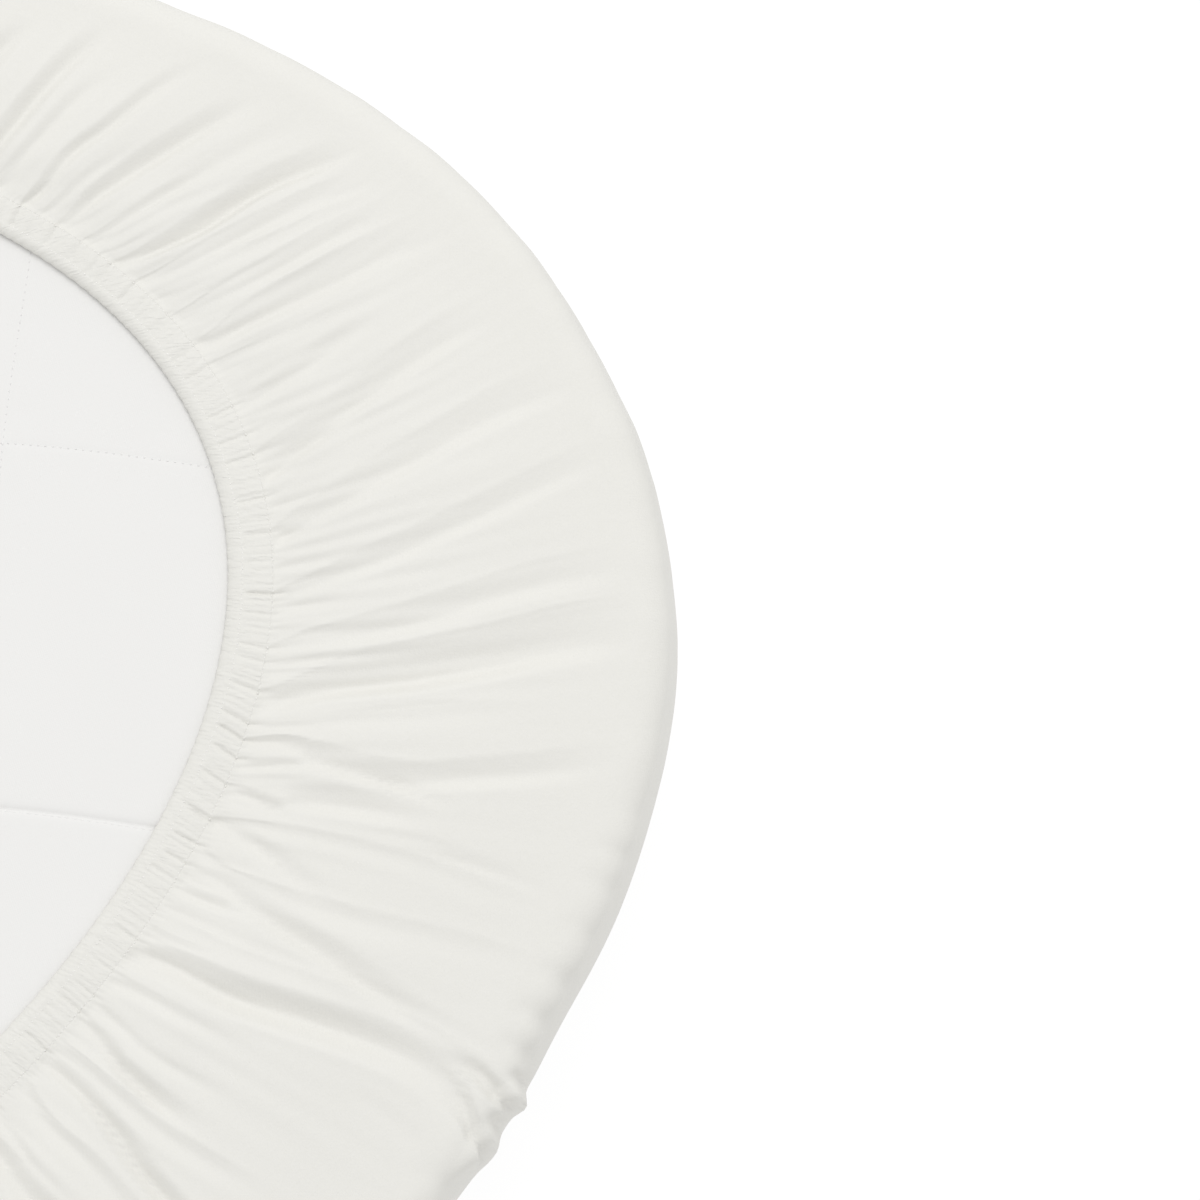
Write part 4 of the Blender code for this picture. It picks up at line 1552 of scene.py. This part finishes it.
@dataclass
class Stitching:
    """Rows of stitches: each stitch is a short plump grain of thread that lies along its row."""

    name: str
    length: float
    radius: float
    sides: int = 6
    droop: float = 0.6
    centres: list[Array] = field(default_factory=list)
    directions: list[Array] = field(default_factory=list)

    def add_row(self, centres: Array, directions: Array) -> None:
        """Add stitches by their middles and their unit directions."""
        self.centres.append(centres)
        self.directions.append(directions)

    def build(self) -> bpy.types.Object:
        """Build all the stitches at once.

        A stitch has five rings of points round its length and a point at each end. It is plump in the middle,
        and its ends dip.

        Returns:
            The object.
        """
        centres = np.concatenate(self.centres)
        along = np.concatenate(self.directions)
        up = np.broadcast_to(np.array([0.0, 0.0, 1.0]), along.shape)
        side = np.cross(up, along)
        side /= np.linalg.norm(side, axis=1, keepdims=True)
        lift = np.cross(along, side)

        share = np.array([-0.5, -0.42, -0.22, 0.0, 0.22, 0.42, 0.5])
        girth = np.array([0.0, 0.62, 0.95, 1.0, 0.95, 0.62, 0.0]) * self.radius
        dip = -np.square(share * 2.0) * self.droop * self.radius
        angle = 2.0 * np.pi * np.arange(self.sides) / self.sides
        body = slice(1, 6)
        local = np.stack(
            [
                np.repeat(share[body, None] * self.length, self.sides, axis=1),
                girth[body, None] * np.cos(angle)[None, :],
                girth[body, None] * np.sin(angle)[None, :] + dip[body, None],
            ],
            axis=-1,
        ).reshape(-1, 3)
        tips = np.array([[share[0] * self.length, 0.0, dip[0]], [share[-1] * self.length, 0.0, dip[-1]]])
        local = np.concatenate([local, tips])
        points = (
            centres[:, None, :]
            + along[:, None, :] * local[None, :, 0:1]
            + side[:, None, :] * local[None, :, 1:2]
            + lift[:, None, :] * local[None, :, 2:3]
        )
        rings = np.arange(5 * self.sides).reshape(5, self.sides)
        before, after = rings[:-1], rings[1:]
        quads = np.stack(
            [before, np.roll(before, -1, axis=1), np.roll(after, -1, axis=1), after], axis=-1
        ).reshape(-1, 4)
        first_tip, last_tip = 5 * self.sides, 5 * self.sides + 1
        start, end = rings[0], rings[-1]
        ends = np.concatenate([
            np.stack([np.full(self.sides, first_tip), np.roll(start, -1), start], axis=-1),
            np.stack([np.full(self.sides, last_tip), end, np.roll(end, -1)], axis=-1),
        ])
        offset = np.arange(len(centres))[:, None, None] * points.shape[1]
        shell = Shell()
        shell.add(points)
        shell.quads.append(((quads[None] + offset).reshape(-1, 4), False))
        shell.triangles.append(((ends[None] + offset).reshape(-1, 3), False))
        return shell.make(self.name)


@dataclass
class SheetCloth:
    """The sheet's cloth from the outer stitching over the face and the edge to the floor side."""

    oval: Oval
    levels: Levels
    folds: FoldField
    gathers: Gathers
    plan: ColumnPlan
    fine_reaches: tuple[float, ...] = (
        -0.007, 0.0, 0.007, 0.015, 0.024, 0.035, 0.048, 0.063, 0.081, 0.102, 0.126, 0.152,
    )
    face_ring_step: float = 0.0326
    groove_height: float = 2.66 * MM
    groove_run: float = 4.0 * MM
    lift_reach: float = 0.5
    tuck_slope: float = 0.8
    reach_run: float = 0.118
    push_foot: float = 0.008
    push_rise: float = 0.062
    roll_facing: float = 0.60
    roll_blend: float = 0.35
    tension_height: float = 0.10 * MM
    tension_rise: float = 0.05
    turn_rings: int = 10
    dimple_height: float = 77.0 * MM
    dimple_spread: float = 9.0 * MM
    squareness: float = 2.4
    push_limit: float = 2.9 * MM
    wall_rings: int = 8
    under_rings: int = 5
    floor_rings: int = 9
    flat_size: tuple[float, float] = (1.06, 1.64)
    flat_area: float = 1.365

    def face(self, hem_station: Array, reach: Array) -> Array:
        """Points of the face.

        In plan a column runs from its station at the hem to the one at the edge. Its height grows from the
        groove at the stitching into the folds, by one minus e to the minus of the run over the groove's run.

        Args:
            hem_station: station at the hem of each column.
            reach: reach of each ring, as a column.

        Returns:
            Points, one row for each ring.
        """
        edge_station = self.folds.edge_station(hem_station)
        station = hem_station + (edge_station - hem_station) * reach
        place = self.oval.on_face(station, reach)
        _, span = self.oval.across_face(hem_station)
        run = np.maximum(reach, 0.0) * (span - self.oval.casing_width)
        free = 1.0 - np.exp(-run / self.groove_run)
        mean_run = np.maximum(reach[:, 0], 0.0) * float(span.mean())
        gathers = self.gathers.on_cloth(self.oval, hem_station, mean_run)
        relief = self.folds.keep_up(self.folds.height(station, hem_station, reach) - gathers, reach)
        sewn = self.groove_height - np.minimum(gathers, GATHER_LIMIT * self.groove_height)
        lift = self.oval.lift(hem_station) * (1.0 - ease(reach / self.lift_reach))
        tucked = np.where(reach < 0.0, reach * span * self.tuck_slope, 0.0)
        level = self.levels.face_underside + lift + (1.0 - free) * sewn
        return raised(place, level + free * (self.levels.cloth + relief) + tucked)

    def profile(self) -> tuple[Array, Array, Array, Array]:
        """Profile of the edge from just past the turn down to the floor side.

        Returns:
            Inset, height, how far the surface faces outwards, and the run along the cloth from the turn.
        """
        oval, face = self.oval, self.levels.face
        rings = (self.turn_rings, self.wall_rings, self.under_rings)
        inset, height, facing = oval.wall(face, 0.0, 0.0, rings, self.squareness)
        before = np.concatenate([[[oval.side_swell + oval.edge_radius, face]], np.stack([inset, height], -1)])
        run = np.cumsum(np.linalg.norm(np.diff(before, axis=0), axis=1))
        return inset, height, facing, run

    def edge(self, hem_station: Array, rings: slice) -> tuple[Array, Array]:
        """Points of the edge for some rings of its profile, and their places on the flat cloth.

        The folds run on over the edge. They, the rolls and the dimples push a point straight out of the
        profile, less and less towards the floor. Inwards they stop short of the mattress.

        Args:
            hem_station: station at the hem of each column.
            rings: which rings of the profile.

        Returns:
            Points and flat places, one row for each ring.
        """
        inset, height, facing, run = (column[rings] for column in self.profile())
        station = self.folds.edge_station(hem_station)
        share = ease((height - self.push_foot) / self.push_rise)
        near_top = bell(height - self.dimple_height, self.dimple_spread)
        roll_share = share * ease((facing - self.roll_facing) / self.roll_blend)
        reach = 1.0 + run[:, None] / self.reach_run
        around = np.broadcast_to(station, (len(run), len(station)))
        rolled = swelling(EDGE_ROLLS, station)[None, :] * roll_share[:, None]
        push = self.folds.keep_up(self.folds.height(around, hem_station, reach) + rolled, reach)
        push += swelling(EDGE_DIMPLES, station)[None, :] * near_top[:, None]
        push += self.tension(station)[None, :] * (share * ease(height / self.tension_rise))[:, None]
        push = soft_floor(push + self.push_limit, self.folds.floor_softness) - self.push_limit
        rise = np.sqrt(np.maximum(0.0, 1.0 - np.square(facing))) * (height > self.levels.face / 2.0)
        place = self.oval.edge(np.broadcast_to(station, push.shape), inset[:, None] - push * facing[:, None])
        flat = self.oval.turn(station)[None] + self.oval.outward(station)[None] * run[:, None, None]
        return raised(place, height[:, None] + push * rise[:, None]), flat

    def tension(self, station: Array) -> Array:
        """Faint upright ripples of the stretched wall: a few waves with whole numbers of turns.

        Args:
            station: stations at the edge.

        Returns:
            Heights in metres.
        """
        angle = np.radians(station)
        waves = np.sin(angle * 61.0 + 1.3) + np.sin(angle * 97.0 + 0.4) + np.sin(angle * 38.0 + 2.1)
        return self.tension_height * waves

    def build(self, grain: Array) -> bpy.types.Object:
        """Build the cloth: a fine mesh by the hem, half as many columns on the face, half again on the wall.

        Args:
            grain: directions across and along the ribs.

        Returns:
            The object.
        """
        shell = Shell()
        hem_station = self.plan.stations(self.oval)
        fine = np.array(self.fine_reaches)[:, None]
        near_hem = shell.add(self.face(hem_station, fine))
        shell.bridge(near_hem)

        half = hem_station[::2]
        step = self.face_ring_step
        reaches = np.append(np.arange(fine[-1, 0] + step, 1.0 - step / 2.0, step), 1.0)
        on_face = shell.add(self.face(half, reaches[:, None]))
        shell.bridge_to_half(near_hem[-1], on_face[0])

        points, flat = self.edge(half, slice(0, self.turn_rings))
        turned = shell.add(points, flat)
        shell.bridge(np.concatenate([on_face, turned]))

        quarter = half[::2]
        points, flat = self.edge(quarter, slice(self.turn_rings, None))
        wall = shell.add(points, flat)
        shell.bridge_to_half(turned[-1], wall[0])
        shell.bridge(wall)

        shares = np.linspace(1.0, 0.0, self.floor_rings + 1)[1:-1]
        floor = shell.add(raised(points[-1, :, :2] * shares[:, None, None], 0.0))
        shell.bridge(np.concatenate([wall[-1:], floor]), in_plan=True)
        centre = shell.add(np.zeros((1, 3)))
        shell.close(floor[-1], int(centre[0]))
        return shell.make("sheet_cloth", grain)


@dataclass
class QuiltedMattress:
    """The mattress with its quilted upper face: square cells between sewn channels, turned to the length."""

    oval: Oval
    levels: Levels
    pitch: float = 118.0 * MM
    turn: float = -25.0
    first_along: float = 0.3415
    first_across: float = 0.1105
    channel_depth: float = 0.80 * MM
    channel_width: float = 0.8 * MM
    bead_offset: float = 0.9 * MM
    bead_sink: float = 0.22 * MM
    light_line: float = 0.20
    dome: float = 0.15 * MM
    wander: float = 1.3 * MM
    rim_fade: float = 50.0 * MM
    pucker: float = 0.10 * MM
    pucker_offset: float = 5.0 * MM
    pucker_spread: float = 4.5 * MM
    unevenness: float = 0.15 * MM
    edge_gap: float = 3.5 * MM
    rim_count: int = 480
    wall_rings: tuple[int, int, int] = (5, 5, 4)
    margin: float = 22.0 * MM
    stitch_pitch: float = 2.45 * MM
    stitch_margin: float = 8.0 * MM
    light_rise: float = 0.03 * MM
    rim_margin: float = 5.0 * MM
    # Which mesh lines of a cell are kept where the face is out of sight
    coarse_lines: tuple[int, ...] = (0, 4, 9, 13, 17, 18, 19, 23, 27, 32)
    # Distances of the mesh lines from a sewn line, in mm
    spacing: tuple[float, ...] = (
        0.0, 0.55, 1.15, 1.9, 2.9, 4.2, 5.8, 7.8, 10.2, 13.0, 16.2, 20.0, 24.4, 29.4, 35.0, 41.0, 47.0, 53.0,
    )

    def directions(self) -> Array:
        """The two directions that the sewn lines are counted along, as rows."""
        angle = math.radians(self.turn)
        return np.array([[math.cos(angle), math.sin(angle)], [-math.sin(angle), math.cos(angle)]])

    def drift(self, place: Array) -> Array:
        """How far the sewn lines wander off the straight at a place: two slow crossing waves.

        Args:
            place: points in plan.

        Returns:
            Shifts in plan.
        """
        x, y = place[..., 0], place[..., 1]
        waves = [np.sin(y * 43.0 + x * 11.0 + 0.6), np.sin(x * 38.0 - y * 17.0 + 2.0)]
        return self.wander * np.stack(waves, axis=-1)

    def cell_place(self, place: Array) -> tuple[Array, Array]:
        """Signed distance from the nearest sewn line of each set.

        Args:
            place: points in plan.

        Returns:
            Distances from the lines of the first set, and of the second.
        """
        counted = (place + self.drift(place)) @ self.directions().T
        counted = counted - np.array([self.first_along, self.first_across])
        offset = (counted + self.pitch / 2.0) % self.pitch - self.pitch / 2.0
        return offset[..., 0], offset[..., 1]

    def firmness(self, place: Array) -> Array:
        """How deep the crosswise lines are drawn in: every second one fully, the others lightly.

        Args:
            place: points in plan.

        Returns:
            Shares of the full depth.
        """
        counted = (place + self.drift(place)) @ self.directions()[1] - self.first_across
        odd = np.abs(np.round(counted / self.pitch)) % 2.0
        return 1.0 - (1.0 - self.light_line) * odd

    def height(self, place: Array) -> Array:
        """Height of the upper face.

        Each sewn line is a crease that dies out over the channel's width, each cell a low dome between its
        lines, and short puckers stand across a line beside it. All this fades towards the rim.

        Args:
            place: points in plan.

        Returns:
            Heights over the origin.
        """
        one, other = self.cell_place(place)
        light, firm = trough(one, self.channel_width), trough(other, self.channel_width)
        sewn = np.maximum(self.light_line * light, self.firmness(place) * firm)
        dome = np.cos(np.pi * one / self.pitch) * np.cos(np.pi * other / self.pitch)
        pucker = sum(
            bell(line - self.pucker_offset * np.sign(line), self.pucker_spread) * swung(run, 430.0, 4.0, 71.0)
            for line, run in ((one, place @ self.directions()[1]), (other, place @ self.directions()[0]))
        )
        wave = np.sin(place @ np.array([31.0, 47.0])) * np.sin(place @ np.array([-58.0, 22.0]) + 1.0)
        outwards = np.hypot(2.0 * place[..., 0] / self.oval.length, 2.0 * place[..., 1] / self.oval.width)
        fade = ease((1.0 - outwards) * self.oval.width / 2.0 / self.rim_fade)
        relief = -self.channel_depth * sewn - self.dome * (1.0 - dome) + self.pucker * pucker
        relief = relief + self.unevenness * (wave - 1.0)
        return self.levels.mattress_top + np.minimum(relief, 0.0) * fade

    def inside(self, place: Array, margin: float) -> Array:
        """Whether points lie within the opening widened by a margin.

        Args:
            place: points in plan.
            margin: the margin in metres.

        Returns:
            A truth value for each point.
        """
        half_length = self.oval.opening_length / 2.0 + margin
        half_width = self.oval.opening_width / 2.0 + margin
        across = (place[..., 1] - self.oval.opening_offset) / half_width
        return np.hypot(place[..., 0] / half_length, across) < 1.0

    def mesh_points(self) -> Array:
        """Inner points of the upper face, where mesh lines cross: closer by sewn lines, fewer out of sight.

        Returns:
            Points in plan.
        """
        near = np.array(self.spacing) * MM
        cell = np.sort(np.concatenate([near, [self.pitch / 2.0], self.pitch - near[1:]]))
        count = math.ceil(self.oval.length / self.pitch) + 1
        lines = (np.arange(-count, count)[:, None] * self.pitch + cell[None, :]).ravel()
        coarse_line = np.tile(np.isin(np.arange(len(cell)), self.coarse_lines), 2 * count)
        one, other = np.meshgrid(lines + self.first_along, lines + self.first_across, indexing="ij")
        coarse = coarse_line[:, None] & coarse_line[None, :]
        place = np.stack([one, other], axis=-1) @ self.directions()
        place = place - self.drift(place)
        rim = self.edge_gap + self.oval.side_swell + self.oval.edge_radius + self.rim_margin
        half_size = np.array([self.oval.length / 2.0 - rim, self.oval.width / 2.0 - rim])
        on_face = np.hypot(place[..., 0] / half_size[0], place[..., 1] / half_size[1]) < 1.0
        return place[on_face & (coarse | self.inside(place, self.margin))]

    def build(self) -> bpy.types.Object:
        """Build the closed mattress: a triangulated upper face with the mesh points, and rings below it.

        Returns:
            The object.
        """
        oval, levels = self.oval, self.levels
        station = np.linspace(0.0, FULL_TURN, self.rim_count, endpoint=False)
        rim = oval.edge(station, self.edge_gap + oval.side_swell + oval.edge_radius)
        plan = np.concatenate([rim, self.mesh_points()])
        border = [(number, (number + 1) % self.rim_count) for number in range(self.rim_count)]
        flat, _, faces, *_ = delaunay_2d_cdt(list(map(Vector, plan.tolist())), border, [], 1, 1e-6)
        plan = np.array([tuple(point) for point in flat])
        level = self.height(plan)
        level[: self.rim_count] = levels.mattress_top
        shell = Shell()
        shell.add(raised(plan, level))
        triangles = np.array(faces)
        first, second, third = (plan[triangles[:, corner]] for corner in range(3))
        turned = np.cross(second - first, third - first) < 0.0
        triangles[turned] = triangles[turned][:, ::-1]
        shell.triangles.append((triangles, True))

        faces_at = (levels.mattress_top, levels.mattress_bottom)
        inset, height, _ = oval.wall(*faces_at, self.edge_gap, self.wall_rings)
        place = oval.edge(np.broadcast_to(station, (len(inset), len(station))), inset[:, None])
        below = shell.add(raised(place, height[:, None]))
        shell.bridge(np.concatenate([np.arange(self.rim_count)[None, :], below]))
        centre = shell.add(np.array([[0.0, 0.0, levels.mattress_bottom]]))
        shell.close(below[-1], int(centre[0]))
        return shell.make("mattress_pad")

    def stitching(self) -> tuple[Stitching, Stitching]:
        """Stitches along the sewn lines, wherever they show in the opening.

        Those of a firm line lie on the lower side of its channel and touch each other at their dipping ends.

        Returns:
            Stitches of the light lines, and of the firm ones.
        """
        light = Stitching("quilting_stitches", length=0.85 * MM, radius=0.22 * MM, sides=5)
        firm = Stitching("firm_quilting_stitches", length=3.0 * MM, radius=0.38 * MM, sides=5)
        directions = self.directions()
        reach = self.oval.length / 2.0
        along = np.arange(-reach, reach, self.stitch_pitch)
        lines = np.arange(-12, 12) * self.pitch
        for number, first in enumerate((self.first_along, self.first_across)):
            count_way, run_way = directions[number], directions[1 - number]
            place = (lines + first)[:, None, None] * count_way + along[None, :, None] * run_way
            place = place.reshape(-1, 2)
            place = place - self.drift(place)
            place = place[self.inside(place, self.stitch_margin)]
            is_firm = (self.firmness(place) > 0.5) & (number == 1)
            for rows, chosen, offset, rise in (
                (light, ~is_firm, 0.0, self.light_rise), (firm, is_firm, self.bead_offset, -self.bead_sink),
            ):
                spot = place[chosen] - offset * directions[1]
                way = np.broadcast_to(np.append(run_way, 0.0), (len(spot), 3))
                rows.add_row(raised(spot, self.height(spot) + rise), way)
        return light, firm


@dataclass
class DressedMattress:
    """The whole part: cloth, casing, mattress and stitches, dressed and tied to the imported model."""

    camera: Camera
    oval: Oval = field(default_factory=Oval)
    levels: Levels = field(default_factory=Levels)
    stitch_pitch: float = 1.6 * MM
    stitch_sink: float = 0.09 * MM
    stitch_wander: float = 0.22 * MM
    cloth_plan: ColumnPlan = ColumnPlan(count=2720, extra=3.2)

    def hem_stitches(self, casing: HemCasing) -> Stitching:
        """Stitches of both rows of the casing.

        Args:
            casing: the casing.

        Returns:
            The rows.
        """
        rows = Stitching("hem_stitches", length=0.95 * MM, radius=0.28 * MM)
        even = ColumnPlan(count=round(HEM_LENGTH / self.stitch_pitch), extra=0.0)
        station = even.stations(self.oval)
        wander = self.stitch_wander * swung(np.radians(station), 173.0, 2.0, 67.0)
        distances = {StitchRow.INNER: casing.row_distance, StitchRow.OUTER: self.oval.casing_width}
        for row, distance in distances.items():
            place = self.oval.on_casing(station, distance + wander)
            ahead = np.roll(place, -1, axis=0) - np.roll(place, 1, axis=0)
            ahead /= np.linalg.norm(ahead, axis=1, keepdims=True)
            level = casing.row_level(station, row) - self.stitch_sink
            rows.add_row(raised(place, level), raised(ahead, 0.0))
        return rows

    def build(self) -> None:
        """Build and dress every piece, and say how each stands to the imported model."""
        grain = self.camera.grain()
        folds = FoldField(self.oval)
        gathers = Gathers.draw(self.oval, folds.drapes, GatherSizes(), self.cloth_plan)
        casing = HemCasing(self.oval, self.levels, gathers)
        sheet = SheetCloth(self.oval, self.levels, folds, gathers, self.cloth_plan)
        mattress = QuiltedMattress(self.oval, self.levels)

        jersey = JerseyFinish().make()
        # The casing's jersey: its creases dip in the bump and darken the colour along them, painted shade in
        # the creases
        drawn_up = JerseyFinish("drawn_up_jersey", crinkle=3.0).make()
        hem_thread = ThreadFinish("hem_thread", (0.87, 0.862, 0.832), (0.80, 0.792, 0.76)).make()
        ticking = TickingFinish().make()
        # Quilting thread a little darker than the ticking, so that the light lines' short stitches show as
        # dark dots: real thread, with painted shade of the needle holes in its darker tone
        quilt_thread_hole_shade = ThreadFinish("quilt_thread_hole_shade", (0.84, 0.835, 0.825), (0.74, 0.735, 0.725)).make()

        cloth_piece = self.finish(sheet.build(grain), jersey, Slot.JERSEY, "sheet")
        casing_piece = self.finish(casing.build(grain), drawn_up, Slot.JERSEY, "sheet")
        hem_piece = self.finish(self.hem_stitches(casing).build(), hem_thread, Slot.JERSEY)
        mattress_piece = self.finish(mattress.build(), ticking, Slot.TICKING, "mattress")
        light_rows, firm_rows = mattress.stitching()
        self.finish(light_rows.build(), quilt_thread_hole_shade, Slot.TICKING)
        self.finish(firm_rows.build(), ticking, Slot.TICKING)

    @staticmethod
    def finish(
        piece: bpy.types.Object, material: bpy.types.Material, slot: Slot, replaced: str | None = None
    ) -> bpy.types.Object:
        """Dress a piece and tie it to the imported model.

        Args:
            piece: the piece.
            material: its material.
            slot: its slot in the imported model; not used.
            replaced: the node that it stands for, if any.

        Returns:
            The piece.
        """
        piece.data.materials.append(material)
        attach(piece, "root")
        if replaced:
            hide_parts(replaced)
        triangles = sum(len(polygon.vertices) - 2 for polygon in piece.data.polygons)
        LOG.info("%s: %d triangles", piece.name, triangles)
        return piece


@dataclass
class Studio:
    """Plain pale floor and soft light that comes mostly from the top of the picture."""

    camera: Camera
    sky: float = 0.72
    key_power: float = 158.0
    key_size: float = 4.0
    key_distance: float = 6.0
    key_elevation: float = 64.0
    floor_colour: Colour = (0.12, 0.12, 0.12)
    floor_glow: float = 0.90
    floor_size: float = 12.0
    floor_level: float = -0.4 * MM

    def light(self) -> None:
        """Light the room evenly and add one large lamp."""
        world = bpy.data.worlds.new("studio_room")
        world.use_nodes = True
        room = world.node_tree.nodes["Background"]
        room.inputs["Color"].default_value = (1.0, 1.0, 1.0, 1.0)
        room.inputs["Strength"].default_value = self.sky
        bpy.context.scene.world = world

        _, up = self.camera.axes()
        elevation = math.radians(self.key_elevation)
        towards = up * math.cos(elevation) + Vector((0.0, 0.0, math.sin(elevation)))
        data = bpy.data.lights.new("key_light", "AREA")
        data.shape = "SQUARE"
        data.size = self.key_size
        data.energy = self.key_power
        lamp = bpy.data.objects.new("key_light", data)
        lamp.location = Vector(self.camera.target) + towards * self.key_distance
        lamp.rotation_euler = towards.to_track_quat("Z", "Y").to_euler()
        bpy.context.scene.collection.objects.link(lamp)

    def floor(self) -> None:
        """Lay the floor just under the part."""
        half = self.floor_size / 2.0
        corners = np.array([[-half, -half], [half, -half], [half, half], [-half, half]])
        shell = Shell()
        numbers = shell.add(raised(corners, self.floor_level))
        shell.quads.append((numbers[None, :], False))
        floor = shell.make("studio_floor")
        tree = NodeTree("pale_floor")
        tree.feed_all(
            tree.shader, Base_Color=(*self.floor_colour, 1.0), Roughness=1.0, Specular_IOR_Level=0.0,
            Emission_Color=(1.0, 1.0, 1.0, 1.0), Emission_Strength=self.floor_glow,
        )
        floor.data.materials.append(tree.material)

    def build(self) -> None:
        """Set up the camera, the light and the floor."""
        self.camera.make()
        self.light()
        self.floor()
        bpy.context.scene.view_settings.view_transform = "Standard"


def main() -> None:
    """Build the part and the studio."""
    logging.basicConfig(level=logging.INFO, format="%(name)s: %(message)s")
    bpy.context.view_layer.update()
    camera = Camera()
    DressedMattress(camera).build()
    Studio(camera).build()


if __name__ == "__main__":
    main()
